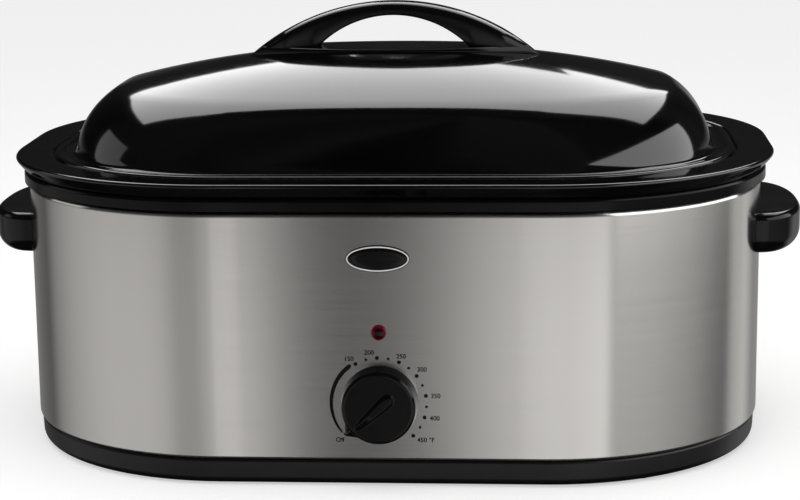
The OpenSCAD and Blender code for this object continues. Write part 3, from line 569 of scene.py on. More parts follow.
class Geometry:
    """A Geometry Nodes tree with named inputs, which is applied to a mesh and then goes away."""

    def __init__(self, name, sizes):
        self.tree = bpy.data.node_groups.new(name, "GeometryNodeTree")
        face = self.tree.interface
        face.new_socket("Geometry", in_out="INPUT", socket_type="NodeSocketGeometry")
        face.new_socket("Geometry", in_out="OUTPUT", socket_type="NodeSocketGeometry")
        self.sizes = {}
        for label, value in sizes.items():
            kind = "NodeSocketInt" if isinstance(value, int) else "NodeSocketFloat"
            made = face.new_socket(label, in_out="INPUT", socket_type=kind)
            self.sizes[label] = (made.identifier, value)
        self.nodes = self.tree.nodes
        self.links = self.tree.links
        self.given = self.nodes.new("NodeGroupInput")
        self.result = self.nodes.new("NodeGroupOutput")

    def size(self, label):
        return Socket(self, self.given.outputs[label])

    def node(self, kind, *values, inputs=None, out=0, **settings):
        made = self.nodes.new(kind)
        for name, value in settings.items():
            setattr(made, name, value)
        for place, value in list(enumerate(values)) + list((inputs or {}).items()):
            if isinstance(value, Socket):
                self.links.new(value.output, made.inputs[place])
            elif value is not None:
                made.inputs[place].default_value = value
        return Socket(self, made.outputs[out])

    def geometry(self):
        return Socket(self, self.given.outputs["Geometry"])

    def run(self, name, mesh, instances, material):
        """Realizes the instances with a material and gives the plain mesh."""
        real = self.node("GeometryNodeRealizeInstances", instances)
        made = self.node("GeometryNodeSetMaterial", real, inputs={"Material": material})
        self.links.new(made.output, self.result.inputs[0])
        carrier = stand_in(mesh)
        modifier = carrier.modifiers.new(name, "NODES")
        modifier.node_group = self.tree
        for identifier, value in self.sizes.values():
            modifier[identifier] = value
        done = applied(carrier)
        done.name = name
        return done


def repeated(name, places, shape, material):
    """The same closed shape at each of the places, made by instances on points."""
    points = bpy.data.meshes.new(name + "_places")
    points.from_pydata([tuple(place) for place in places], [], [])
    pattern = stand_in(shape)
    tree = Geometry(name, {})
    source = tree.node("GeometryNodeObjectInfo", inputs={"Object": pattern}, out="Geometry")
    spots = tree.node("GeometryNodeMeshToPoints", tree.geometry())
    copies = tree.node("GeometryNodeInstanceOnPoints", spots, inputs={"Instance": source})
    mesh = tree.run(name, points, copies, material)
    bpy.data.objects.remove(pattern)
    return mesh


# ---- Shells of the body -------------------------------------------------------

WRAP_SHEET = 0.8 * MM
WRAP_CURL = 5 * MM
WRAP_TOP_LEDGE = 7 * MM
WRAP_FOOT_BEND = 2 * MM
WRAP_FOOT_LEDGE = 4 * MM


def make_wrap(materials):
    mid = WRAP_SHEET / 2
    outline = bent_strip([(-WRAP_FOOT_LEDGE, WRAP_BOTTOM + mid), (-mid, WRAP_BOTTOM + mid),
                          (-mid, WRAP_TOP - mid), (-WRAP_CURL - WRAP_TOP_LEDGE, WRAP_TOP - mid)],
                         [WRAP_FOOT_BEND, WRAP_CURL - mid], WRAP_SHEET)
    piece_from_mesh("wrap_skin", lofted("wrap_skin", outline), materials["brushed_wrap"],
                    "oven", ["steel_wrap"])


COLLAR_OUT = 3.7 * MM
COLLAR_SHEET = 1.5 * MM
COLLAR_RADIUS = 2.5 * MM
WELL_INSET = 34 * MM


def make_collar(materials):
    mid = COLLAR_SHEET / 2
    outline = bent_strip([(COLLAR_OUT - mid, WRAP_TOP + FIT_GAP), (COLLAR_OUT - mid, COLLAR_TOP - mid),
                          (-WELL_INSET + mid, COLLAR_TOP - mid)],
                         [COLLAR_RADIUS - mid], COLLAR_SHEET)
    piece_from_mesh("collar_band", lofted("collar_band", outline), materials["collar_enamel"],
                    "oven", ["top_collar"])


BASE_BOTTOM = 0.8 * MM
BASE_WALL = 2.5 * MM
BASE_INSET = 2.5 * MM
BASE_TOP_INSET = 1.6 * MM
BASE_FLANGE = 26 * MM
BASE_LEDGE = 7 * MM
BASE_FOOT_BEND = 5 * MM
BASE_TOP_BEND = 1.4 * MM


def make_base(materials):
    mid = BASE_WALL / 2
    top = WRAP_BOTTOM - FIT_GAP
    outline = bent_strip([(-BASE_INSET - BASE_FLANGE, BASE_BOTTOM + mid),
                          (-BASE_INSET - mid, BASE_BOTTOM + mid),
                          (-BASE_TOP_INSET - mid, top - mid),
                          (-BASE_LEDGE, top - mid)],
                         [BASE_FOOT_BEND, BASE_TOP_BEND], BASE_WALL)
    piece_from_mesh("base_band", lofted("base_band", outline), materials["moulded_base"],
                    "oven", ["base_ring"])


PAN_SHEET = 1.2 * MM
PAN_FLOOR = 0.058
PAN_NOSE_OUT = 9.4 * MM
PAN_NOSE_R = 1.8 * MM
PAN_LIP_ANGLE = radians(40)
PAN_LIP_GAP = 0.3 * MM
PAN_HEM = 5 * MM
PAN_RIM_INSET = 16.5 * MM
PAN_STEP_INSET = 18 * MM
PAN_STEP = 2.5 * MM
PAN_WALL_INSET = 38 * MM
PAN_DRAFT = 6 * MM
PAN_BEND = 1.2 * MM
PAN_SHOULDER = 4.4 * MM
PAN_CORNER = 20.6 * MM


def make_pan(materials):
    """The pan as one sheet: hem, slanted lip, rounded nose, step for the lid, wall and floor."""
    mid = PAN_SHEET / 2
    rim_line = RIM_TOP - mid
    nose_bend = PAN_NOSE_R - mid
    rise = pi / 2 - PAN_LIP_ANGLE
    nose = (PAN_NOSE_OUT - PAN_NOSE_R + nose_bend * tan((pi / 2 + PAN_LIP_ANGLE) / 2), rim_line)
    lip_end = COLLAR_TOP + PAN_LIP_GAP + mid
    run = (rim_line - lip_end) / tan(rise)
    lip = (nose[0] - run, lip_end)
    seat_line = rim_line - PAN_STEP
    wall = -PAN_WALL_INSET - mid
    floor = PAN_FLOOR + mid
    path = [(lip[0] - PAN_HEM, lip_end), lip, nose, (-PAN_RIM_INSET, rim_line),
            (-PAN_STEP_INSET, seat_line), (wall, seat_line), (wall - PAN_DRAFT, floor),
            (-CORNER_RADIUS, floor)]
    bends = [PAN_BEND, nose_bend, PAN_BEND, PAN_BEND, PAN_SHOULDER, PAN_CORNER]
    outline = bent_strip(path, bends, PAN_SHEET)
    half = len(outline) // 2
    section = outline[half:] + outline[:half]
    mesh = lofted("pan_shell", section, closed=False)
    work = bmesh.new()
    work.from_mesh(mesh)
    bmesh.ops.holes_fill(work, edges=[e for e in work.edges if e.is_boundary], sides=0)
    outward(work)
    work.to_mesh(mesh)
    work.free()
    piece_from_mesh("pan_shell", mesh, materials["black_enamel"], "pan",
                    ["roasting_pan"])


# ---- Lid --------------------------------------------------------------------

LID_SHEET = 1.2 * MM
LID_EDGE_INSET = 20 * MM
DOME_INSET = 35.5 * MM
LID_BEAD = 3 * MM
LID_BEAD_WIDTH = 6 * MM
LID_TROUGH = 1.6 * MM
LID_FILLET = 0.5 * MM
DOME_SHOULDER = 60 * MM
SHOULDER_DROP = 4 * MM
CROWN_SLOPE = radians(30)
CROWN_FULLNESS = 2.1
SHOULDER_STEPS = 14
CROWN_STEPS = 26
SHOULDER_Z = LID_SEAT - SHOULDER_DROP
BREAK_U = -DOME_INSET - DOME_SHOULDER * (1 - sin(CROWN_SLOPE))
BREAK_Z = SHOULDER_Z + DOME_SHOULDER * cos(CROWN_SLOPE)
BREAK_X = HALF_LENGTH + BREAK_U
BREAK_Y = HALF_WIDTH + BREAK_U


def crown_z(share):
    return DOME_TOP - (DOME_TOP - BREAK_Z) * share ** CROWN_FULLNESS


def lid_section(inset):
    """The lid's section from edge to crown, as (u, z, share, rounding), drawn in by inset."""
    bead_mid = -LID_EDGE_INSET - LID_BEAD_WIDTH / 2
    trough = LID_SEAT + LID_TROUGH - inset
    section = [(bead_mid + copysign(sqrt(abs(cos(a))), cos(a)) * (LID_BEAD_WIDTH / 2 - inset),
                LID_SEAT + sqrt(sin(a)) * (LID_BEAD - inset) if inset == 0 or a > 0.2
                else LID_SEAT + 0.4 * MM)
               for a in (radians(12 * k) for k in range(14))]
    section += [(bead_mid - LID_BEAD_WIDTH * 0.5, trough + LID_FILLET),
                (bead_mid - LID_BEAD_WIDTH * 0.62, trough), (-DOME_INSET + 2.6 * MM, trough),
                (-DOME_INSET + 1.2 * MM, trough + LID_FILLET)]
    first = asin((SHOULDER_DROP + 4 * MM) / DOME_SHOULDER)
    for k in range(SHOULDER_STEPS + 1):
        rounding = k / SHOULDER_STEPS
        a = first + (pi / 2 - CROWN_SLOPE - first) * k / SHOULDER_STEPS
        section.append((-DOME_INSET - DOME_SHOULDER + cos(a) * (DOME_SHOULDER - inset),
                        SHOULDER_Z + sin(a) * (DOME_SHOULDER - inset), 1, rounding))
    for k in range(1, CROWN_STEPS):
        share = 1 - k / CROWN_STEPS
        section.append((BREAK_U - inset * sin(CROWN_SLOPE), crown_z(share) - inset, share, 1))
    return section


def make_lid(materials):
    section = lid_section(0)[::-1] + lid_section(LID_SHEET)
    mesh = lofted("lid_shell", section, closed=False, cap=True)
    piece_from_mesh("lid_shell", mesh, materials["black_enamel"], "lid",
                    ["lid_dome"])


GRIP_HALF = 0.1125
GRIP_RISE = 35 * MM
GRIP_HOLE_HALF = 58 * MM
GRIP_HOLE_TOP = DOME_TOP + 25 * MM
GRIP_BASE_TOP = DOME_TOP + 0.7 * MM
GRIP_BASE_HALF = 31 * MM
GRIP_ARCH_HALF = 14 * MM
GRIP_SEAT_GAP = 0.4 * MM
GRIP_TIP = 0.6 * MM
GRIP_FOOT_EDGE = 0.8 * MM
GRIP_FOOT_SLOPE = 1.2
ARCH_TOP_ROUND = 5.5 * MM
ARCH_UNDER_ROUND = 1.6 * MM
ARCH_CROWN = 0.8 * MM
ARCH_LEAST = 0.5 * MM
ARCH_RIBS = 96
FOOT_RIBS = 72


def chord_radius(half, rise):
    """Radius of the arc over a chord of that half length with that rise."""
    return (half ** 2 + rise ** 2) / (2 * rise)


GRIP_TOP = DOME_TOP + GRIP_RISE
GRIP_DROP = (DOME_TOP - BREAK_Z) * (GRIP_HALF / BREAK_X) ** CROWN_FULLNESS
SIDE_DROP = (DOME_TOP - BREAK_Z) * (GRIP_BASE_HALF / BREAK_Y) ** CROWN_FULLNESS
ARCH_R = chord_radius(GRIP_HALF, GRIP_RISE + GRIP_DROP)
HOLE_R = chord_radius(GRIP_HOLE_HALF, GRIP_HOLE_TOP - GRIP_BASE_TOP)
SEAT_R = chord_radius(GRIP_HALF, GRIP_DROP)
CROSS_R = chord_radius(GRIP_BASE_HALF, SIDE_DROP)
PLAN_R = chord_radius(GRIP_HALF, GRIP_BASE_HALF)


def grip_plan(x):
    """Half the width of the handle's pointed plan at x."""
    return sqrt(PLAN_R ** 2 - x * x) - (PLAN_R - GRIP_BASE_HALF)


def grip_seat(x, y):
    """Height of the underside of the handle, which follows the crown of the lid."""
    reach = SEAT_R - CROSS_R + sqrt(CROSS_R ** 2 - y * y)
    return DOME_TOP + GRIP_SEAT_GAP - SEAT_R + sqrt(reach ** 2 - x * x)


def grip_outer(x):
    return GRIP_TOP - ARCH_R + sqrt(ARCH_R ** 2 - x * x)


def grip_inner(x):
    """Underside of the arch: the finger opening, and inside the base beyond it."""
    if abs(x) < GRIP_HOLE_HALF:
        return GRIP_HOLE_TOP - HOLE_R + sqrt(HOLE_R ** 2 - x * x)
    return max(grip_seat(x, 0), GRIP_BASE_TOP - (abs(x) - GRIP_HOLE_HALF) * GRIP_FOOT_SLOPE)


def softened_box(half, low, high, top_radius, low_radius, crown=0.0, steps=5):
    """Section of a bar in y and z with rounded corners; crown raises the middle of its top."""
    top = min(top_radius, half * 0.95, (high - low) * 0.48)
    foot = min(low_radius, half * 0.95, (high - low) * 0.48)
    right = arc((half - foot, low + foot), foot, -90, 0, 90 / steps)
    right += arc((half - top, high - top), top, 0, 80, 80 / steps)
    middle = [(half - top) * share for share in (0.66, 0.33)]
    crest = [(y, high + crown * (1 - (y / max(half, 1e-6)) ** 2)) for y in middle]
    side = right + crest
    return side + [(0.0, high + crown)] + [(-y, z) for y, z in reversed(side)]


def ribbed(name, sections):
    """A skin through (x, section) ribs whose sections have the same number of points."""
    work = bmesh.new()
    ribs = [[work.verts.new((x, y, z)) for y, z in section] for x, section in sections]
    count = len(ribs[0])
    for low, high in zip(ribs, ribs[1:]):
        for k in range(count):
            j = (k + 1) % count
            work.faces.new((low[k], low[j], high[j], high[k]))
    work.faces.new(ribs[0][::-1])
    work.faces.new(ribs[-1])
    bmesh.ops.recalc_face_normals(work, faces=work.faces)
    return mesh_of(work, name)


def spaced(half, count):
    """Stations along the handle, closer together towards its two ends."""
    return [half * sin(pi / 2 * (2 * k / count - 1)) for k in range(count + 1)]


def make_lid_handle(materials):
    reach = GRIP_HALF - GRIP_TIP
    arch = []
    for x in spaced(reach, ARCH_RIBS):
        width = min(GRIP_ARCH_HALF, grip_plan(x) * 0.98)
        high = grip_outer(x)
        low = min(grip_inner(x), high - ARCH_LEAST)
        arch.append((x, softened_box(width, low, high - ARCH_CROWN, ARCH_TOP_ROUND, ARCH_UNDER_ROUND,
                                     ARCH_CROWN)))
    base = []
    for x in spaced(reach, FOOT_RIBS):
        half = grip_plan(x)
        top = min(GRIP_BASE_TOP, grip_outer(x) - 0.3 * MM)
        edge = min(GRIP_FOOT_EDGE, half * 0.4)
        side = [(half * share, grip_seat(x, half * share)) for share in (0, 0.35, 0.7, 1.0)]
        lip = max(top - 1.4 * MM, side[-1][1] + 0.1 * MM)
        side += [(half, lip), (half - edge * 0.35, (lip + top) / 2 + 0.3 * MM),
                 (half - edge, top), (half - 1.5 * edge, top), (half * 0.4, top)]
        section = side + [(0, top)] + [(-y, z) for y, z in reversed(side)][:-1]
        base.append((x, section))
    mesh = joined("lid_grip", [ribbed("arch", arch), ribbed("foot", base)])
    piece_from_mesh("lid_grip", mesh, materials["moulded_gloss"], "lid",
                    ["lid_handle"])


# ---- Side handles ---------------------------------------------------------------

HANDLE_REACH = 33 * MM
HANDLE_OUT = HALF_LENGTH + HANDLE_REACH
HANDLE_HALF = 75 * MM
HANDLE_BOTTOM = 144 * MM
HANDLE_TOP = 175 * MM
HANDLE_UNDER = 13 * MM
HANDLE_EDGE = 5 * MM
HANDLE_FULLNESS = 2.4
HANDLE_WALL = 4 * MM
HANDLE_BAR = 14 * MM
HANDLE_SLOT_HALF = 46 * MM
HANDLE_SLOT_CORNER = 6 * MM
HANDLE_STEPS = 48
HANDLE_ROOT_STEPS = 12


def oval_x(y, u):
    """How far out the oval at u reaches at y, on the right."""
    beyond = max(abs(y) - CORNER_Y, 0)
    return CORNER_X + sqrt((CORNER_RADIUS + u) ** 2 - beyond ** 2)


def handle_ring(inset):
    """The handle's plan drawn in by inset: a full bow outside, the body's side inside."""
    half = HANDLE_HALF - inset
    root = oval_x(half, FIT_GAP)
    power = 2 / HANDLE_FULLNESS
    points = []
    for k in range(HANDLE_STEPS + 1):
        turn = pi * (k / HANDLE_STEPS - 0.5)
        y = half * copysign(abs(sin(turn)) ** power, turn)
        points.append((root + (HANDLE_OUT - inset - root) * abs(cos(turn)) ** power, y))
    for k in range(HANDLE_ROOT_STEPS - 1, -HANDLE_ROOT_STEPS, -1):
        y = half * k / HANDLE_ROOT_STEPS
        points.append((oval_x(y, FIT_GAP), y))
    return points


def side_handle_mesh():
    work = bmesh.new()
    rings = []
    under = arc((0, HANDLE_BOTTOM + HANDLE_UNDER), HANDLE_UNDER, -90, 0, 9)
    upper = arc((0, HANDLE_TOP - HANDLE_EDGE), HANDLE_EDGE, 0, 90, 9)
    levels = [(HANDLE_UNDER - r, z) for r, z in under] + [(HANDLE_EDGE - r, z) for r, z in upper]
    for inset, z in levels:
        rings.append([work.verts.new((x, y, z)) for x, y in handle_ring(inset)])
    count = len(rings[0])
    for low, high in zip(rings, rings[1:]):
        for j in range(count):
            k = (j + 1) % count
            work.faces.new((low[j], low[k], high[k], high[j]))
    work.faces.new(rings[0][::-1])
    work.faces.new(rings[-1])
    outward(work)
    body = mesh_of(work, "side_grip")
    corner = HANDLE_SLOT_CORNER
    near = HALF_LENGTH + FIT_GAP + HANDLE_WALL + corner
    far = HANDLE_OUT - HANDLE_BAR - corner
    slot = []
    for x, side, start in ((far, -1, -90), (far, 1, 0), (near, 1, 90), (near, -1, 180)):
        slot += arc((x, side * (HANDLE_SLOT_HALF - corner)), corner, start, start + 90, 12)
    tool = prism("slot", slot, HANDLE_BOTTOM - 10 * MM, HANDLE_TOP - HANDLE_WALL)
    return combined(body, tool, "DIFFERENCE")


def make_side_handles(materials):
    right = side_handle_mesh()
    left = right.copy()
    work = bmesh.new()
    work.from_mesh(left)
    work.transform(Matrix.Scale(-1, 4, (1, 0, 0)))
    bmesh.ops.reverse_faces(work, faces=work.faces)
    work.to_mesh(left)
    work.free()
    for name, mesh in (("right", right), ("left", left)):
        mesh.materials.clear()
        piece_from_mesh(name + "_grip", mesh, materials["moulded_gloss"], "oven",
                        [name + "_side_handle"])


# ---- Knob and dial ---------------------------------------------------------------

KNOB_GAP = 0.8 * MM
KNOB_DEPTH = 14 * MM
KNOB_BAR = 6 * MM
KNOB_R = 27.3 * MM
KNOB_FACE_R = 25.8 * MM
KNOB_NOSE = 32.3 * MM
KNOB_EDGE = 2.4 * MM
BLADE_START = -13 * MM
BLADE_END = 0.8 * MM
BLADE_DROP = 6 * MM
BLADE_ROOT = 4 * MM
BLADE_EDGE = 0.7 * MM
BLADE_STEPS = 30
NOSE_START = 14 * MM
NOSE_HALF = 8.6 * MM
NOSE_TIP_HALF = 1.4 * MM
NOSE_STEPS = 12
KNOB_VOXEL = 0.32 * MM
OFF_ANGLE = 223


def knob_blade():
    """The raised bar across the face: round at one end, running down to the nose at the other."""
    face = KNOB_GAP + KNOB_DEPTH
    crest = face + KNOB_BAR
    ribs = []
    for k in range(BLADE_STEPS + 1):
        share = k / BLADE_STEPS
        x = BLADE_START + share * (KNOB_NOSE - BLADE_END - BLADE_START)
        end = sqrt(max(1 - (1 - min(share / 0.15, 1)) ** 2, 0.02))
        top_half = (3.7 - 2.6 * share) * MM * end
        foot_half = (6.3 - 4.8 * share) * MM * end
        top = crest - (crest - KNOB_GAP - BLADE_DROP) * max((share - 0.45) / 0.55, 0) ** 1.7
        foot = min(face, top) - BLADE_ROOT
        side = [(foot_half, foot), (top_half, top - BLADE_EDGE), (top_half * 0.75, top)]
        ribs.append((x, side + [(-y, z) for y, z in reversed(side)]))
    return ribbed("blade", ribs)


def knob_nose():
    """The flared wedge that runs out of the skirt under the blade."""
    ribs = []
    flare = KNOB_R * 0.95
    for k in range(NOSE_STEPS + 1):
        share = k / NOSE_STEPS
        x = NOSE_START + share * (KNOB_NOSE - NOSE_START)
        half = NOSE_HALF
        if x >= flare:
            half += (NOSE_TIP_HALF - NOSE_HALF) * (x - flare) / (KNOB_NOSE - flare)
        top = KNOB_GAP + 5 * MM + (KNOB_DEPTH - 6 * MM) * (1 - share) ** 0.8
        side = [(half, KNOB_GAP), (half * 0.92, top - 1.5 * MM), (half * 0.55, top)]
        ribs.append((x, side + [(-y, z) for y, z in reversed(side)]))
    return ribbed("nose", ribs)


def make_knob(materials):
    face = KNOB_GAP + KNOB_DEPTH
    slope = degrees(atan2(KNOB_DEPTH, KNOB_R - KNOB_FACE_R))
    profile = [(0, KNOB_GAP), (KNOB_R - 0.6 * MM, KNOB_GAP), (KNOB_R, KNOB_GAP + 0.6 * MM)]
    profile += arc((KNOB_FACE_R - KNOB_EDGE * 0.85, face - KNOB_EDGE), KNOB_EDGE, 90 - slope, 90, 8)
    profile += [(KNOB_FACE_R * 0.5, face), (0, face)]
    body = revolved("knob_body", profile, 160)
    mesh = cast(joined("knob_skin", [body, knob_blade(), knob_nose()]), KNOB_VOXEL, 5)
    turn = Matrix.Rotation(radians(OFF_ANGLE), 4, "Z")
    work = bmesh.new()
    work.from_mesh(mesh)
    work.transform(on_front(0, KNOB_Z) @ turn)
    work.to_mesh(mesh)
    work.free()
    mesh.materials.clear()
    piece_from_mesh("knob_skin", mesh, materials["moulded_gloss"], "knob",
                    ["control_knob"])


# The dial's texts, with the angle and the distance in millimetres of their middles
DIAL_TEXTS = (("Off", 223.4, 39.2), ("150", 123.5, 38.7), ("200", 100.7, 37.6), ("250", 65.6, 37.6),
              ("300", 39.5, 39.0), ("350", 8.0, 40.0), ("400", -15.5, 40.3), ("450 °F", -39.5, 42.0))
DIAL_LETTER = 4.6 * MM
INK_OUT = 0.06 * MM
DOT_RING = 33.2 * MM
FIRST_MARK = 120.2
MARK_STEP = -13.775
MARK_COUNT = 13
LARGE_DOT = 1.4 * MM
SMALL_DOT = 1.0 * MM
LETTER_WEIGHT = 0.1 * MM
SWEEP_RING = 34.3 * MM
SWEEP_START = radians(219)
SWEEP_END = radians(128.5)
SWEEP_END_DOT = 1.5 * MM
SWEEP_STEPS = 60


def dial_number(text, angle, radius):
    """A printed number whose middle lies at that angle and radius round the knob."""
    curve = bpy.data.curves.new("number", "FONT")
    curve.body = text
    curve.size = DIAL_LETTER
    curve.align_x = "CENTER"
    curve.align_y = "CENTER"
    curve.resolution_u = 6
    curve.offset = LETTER_WEIGHT
    mesh = applied(stand_in(curve))
    x, z = radius * cos(radians(angle)), radius * sin(radians(angle))
    work = bmesh.new()
    work.from_mesh(mesh)
    work.transform(on_front(x, KNOB_Z + z, INK_OUT))
    work.to_mesh(mesh)
    work.free()
    return mesh


def make_dial_numbers(ink):
    numbers = [dial_number(text, angle, radius * MM) for text, angle, radius in DIAL_TEXTS]
    piece_from_mesh("dial_numbers", joined("dial_numbers", numbers), ink, "oven",
                    smooth=False)


def make_dial_dots(ink):
    """A large dot at every number and a small one between, set by a Geometry Nodes tree."""
    tree = Geometry("dial_dots", {"Dots": MARK_COUNT, "Ring": DOT_RING, "First": radians(FIRST_MARK),
                                  "Step": radians(MARK_STEP), "Large": LARGE_DOT, "Small": SMALL_DOT})
    index = tree.node("GeometryNodeInputIndex")
    angle = tree.size("First") + index * tree.size("Step")
    x = tree.size("Ring") * tree.node("ShaderNodeMath", angle, operation="COSINE")
    z = tree.size("Ring") * tree.node("ShaderNodeMath", angle, operation="SINE") + KNOB_Z
    place = tree.node("ShaderNodeCombineXYZ", x, -HALF_WIDTH - INK_OUT, z)
    spots = tree.node("GeometryNodePoints", tree.size("Dots"), place)
    between = tree.node("ShaderNodeMath", index, 2.0, operation="MODULO")
    radius = tree.size("Large") + (tree.size("Small") - tree.size("Large")) * between
    disc = tree.node("GeometryNodeMeshCircle", 32, 1.0, fill_type="NGON")
    copies = tree.node("GeometryNodeInstanceOnPoints", spots, inputs={
        "Instance": disc, "Rotation": (pi / 2, 0, 0), "Scale": radius})
    mesh = tree.run("dial_dots", bpy.data.meshes.new("dial_dots_start"), copies, ink)
    piece_from_mesh("dial_dots", mesh, ink, "oven", smooth=False)


def make_dial_sweep(ink):
    """The band that widens from Off towards the first number, and the dot at Off."""
    work = bmesh.new()
    edges = []
    for k in range(SWEEP_STEPS + 1):
        share = k / SWEEP_STEPS
        angle = SWEEP_START + (SWEEP_END - SWEEP_START) * share
        half = (0.15 + 1.4 * share ** 0.3) * MM
        edges.append([work.verts.new((radius * cos(angle), radius * sin(angle), 0))
                      for radius in (SWEEP_RING - half, SWEEP_RING + half)])
    for (inner, outer), (next_inner, next_outer) in zip(edges, edges[1:]):
        work.faces.new((inner, outer, next_outer, next_inner))
    for ring, angle, size in ((SWEEP_RING, SWEEP_END, SWEEP_END_DOT),
                              (DOT_RING, radians(OFF_ANGLE), LARGE_DOT)):
        place = Matrix.Translation((ring * cos(angle), ring * sin(angle), 0.004 * MM))
        bmesh.ops.create_circle(work, cap_ends=True, segments=32, radius=size, matrix=place)
    for face in work.faces:
        face.normal_update()
        if face.normal.z < 0:
            face.normal_flip()
    work.transform(on_front(0, KNOB_Z, INK_OUT))
    piece_from_mesh("dial_sweep", mesh_of(work, "dial_sweep"), ink, "oven",
                    smooth=False)


# ---- Badge, lamp and small parts ---------------------------------------------------

BADGE_HALF = (22.5 * MM, 9.5 * MM)
BADGE_GAP = 0.1 * MM


def oval_button(name, rings, place, steps=96):
    """A flat oval form from (inset, height) rings that shrink both half axes together."""
    work = bmesh.new()
    loops = [[work.verts.new(((BADGE_HALF[0] - inset) * cos(2 * pi * k / steps),
                              (BADGE_HALF[1] - inset) * sin(2 * pi * k / steps), height))
              for k in range(steps)] for inset, height in rings]
    for low, high in zip(loops, loops[1:]):
        for k in range(steps):
            j = (k + 1) % steps
            work.faces.new((low[k], low[j], high[j], high[k]))
    work.faces.new(loops[0])
    work.faces.new(loops[-1])
    outward(work)
    work.transform(place)
    return mesh_of(work, name)


def make_badge(materials):
    place = on_front(0, BADGE_Z, BADGE_GAP)
    field = [(0, 0), (0, 0.9 * MM), (0.25 * MM, 1.15 * MM), (1.2 * MM, 1.2 * MM), (2.4 * MM, 1.5 * MM),
             (4.5 * MM, 1.68 * MM), (7 * MM, 1.75 * MM)]
    piece_from_mesh("badge_field", oval_button("badge_field", field, place),
                    materials["moulded_gloss"], "oven", ["badge_plate"])
    border = [(0.6 * MM, 1.1 * MM), (0.6 * MM, 1.5 * MM), (0.75 * MM, 1.7 * MM), (1.35 * MM, 1.7 * MM),
              (1.5 * MM, 1.5 * MM), (1.5 * MM, 1.1 * MM)]
    piece_from_mesh("badge_border", oval_button("badge_border", border, place),
                    silver_print(), "oven")


LENS_STEM_R = 4 * MM
LENS_DEPTH = 2 * MM
LENS_TOP = 3.1 * MM
LENS_DOME_R = 11 * MM


def make_lamp(materials):
    lens = [(0, -LENS_DEPTH), (LENS_STEM_R, -LENS_DEPTH), (LENS_STEM_R, 0.1 * MM),
            (LAMP_R - 0.1 * MM, 0.1 * MM), (LAMP_R, 0.9 * MM)]
    lens += arc((0, LENS_TOP - LENS_DOME_R), LENS_DOME_R, 62, 90, 4)[:-1] + [(0, LENS_TOP)]
    mesh = revolved("lamp_cap", lens, 48, on_front(0, LAMP_Z))
    piece_from_mesh("lamp_cap", mesh, materials["red_lens"], "oven", ["lamp_lens"])


COVER_EDGE = -24 * MM
BOTTOM_SCREW_U = COVER_EDGE - 3.5 * MM
SCREW_COUNT = 8
SCREW_HEAD_R = 3.6 * MM
SCREW_HEAD = 1.6 * MM
SCREW_RECESS = 0.9 * MM
COVER_Z = 2.2 * MM


def oval_point(angle, u):
    """The point of the oval at u whose face looks in that direction."""
    sx = 1 if cos(angle) > 0 else -1
    sy = 1 if sin(angle) > 0 else -1
    return (sx * CORNER_X + (CORNER_RADIUS + u) * cos(angle),
            sy * CORNER_Y + (CORNER_RADIUS + u) * sin(angle))


def screw_head(radius, height, recess):
    """A pan head that hangs downwards, with a cross recess."""
    profile = [(0, 0), (radius, 0), (radius * 0.97, -height * 0.45), (radius * 0.75, -height * 0.85),
               (radius * 0.45, -height), (0, -height)]
    head = revolved("head", profile, 32)
    for half_x, half_y in ((radius * 0.55, radius * 0.13), (radius * 0.13, radius * 0.55)):
        corners = [(-half_x, -half_y), (half_x, -half_y), (half_x, half_y), (-half_x, half_y)]
        bar = prism("bar", corners, -height - 1 * MM, -height + recess)
        head = combined(head, bar, "DIFFERENCE")
    return head


def make_bottom_screws(materials):
    places = [(*oval_point(2 * pi * (k + 0.5) / SCREW_COUNT, BOTTOM_SCREW_U), COVER_Z)
              for k in range(SCREW_COUNT)]
    material = materials["zinc_fastener"]
    head = screw_head(SCREW_HEAD_R, SCREW_HEAD, SCREW_RECESS)
    mesh = repeated("cover_screws", places, head, material)
    piece_from_mesh("cover_screws", mesh, material, "oven", ["bottom_screws"])


FOOT_ANGLE = 62
FOOT_INSET = 15.5 * MM
FOOT_SOLE_R = 6.4 * MM
FOOT_SOLE_EDGE = 0.6 * MM
FOOT_R = 8 * MM
FOOT_HEIGHT = 3 * MM
FOOT_STEM_R = 3.5 * MM
FOOT_BARB = 5.5 * MM
FOOT_BARB_R = 5 * MM
FOOT_TOP = 7.5 * MM


def make_feet(materials):
    places = [(*oval_point(radians(angle), -FOOT_INSET), 0)
              for angle in (FOOT_ANGLE, 180 - FOOT_ANGLE, 180 + FOOT_ANGLE, 360 - FOOT_ANGLE)]
    profile = [(0, 0), (FOOT_SOLE_R, 0)]
    profile += arc((FOOT_SOLE_R, FOOT_SOLE_EDGE), FOOT_SOLE_EDGE, -60, 20, 20)
    profile += [(FOOT_R, 2.6 * MM), (FOOT_R - 0.2 * MM, FOOT_HEIGHT), (FOOT_STEM_R, FOOT_HEIGHT),
                (FOOT_STEM_R, FOOT_BARB), (FOOT_BARB_R, FOOT_BARB), (FOOT_STEM_R, FOOT_TOP),
                (0, FOOT_TOP)]
    shape = revolved("foot", profile, 40)
    mesh = repeated("foot_pads", places, shape, materials["rubber"])
    piece_from_mesh("foot_pads", mesh, materials["rubber"], "oven", ["rubber_feet"])


REFINED = {
    "oven": [("bottom_cover", "plated_sheet"), ("cord_gland", "moulded_gloss"),
             ("heating_well", "plated_sheet"), ("heating_element", "element_sheath"),
             ("side_handle_plates", "plated_sheet")],
    "rack": [("rack_rim", "rack_chrome"), ("rack_wires", "rack_chrome"), ("rack_feet", "rack_chrome"),
             ("rack_handles", "rack_chrome")],
    "lid": [("lid_handle_screws", "zinc_fastener"), ("lid_handle_washers", "rubber")],
}


def refine_the_rest(materials):
    for body, nodes in REFINED.items():
        for node, slot in nodes:
            refined(node, body, slot, materials)


# ---- Stage ---------------------------------------------------------------------

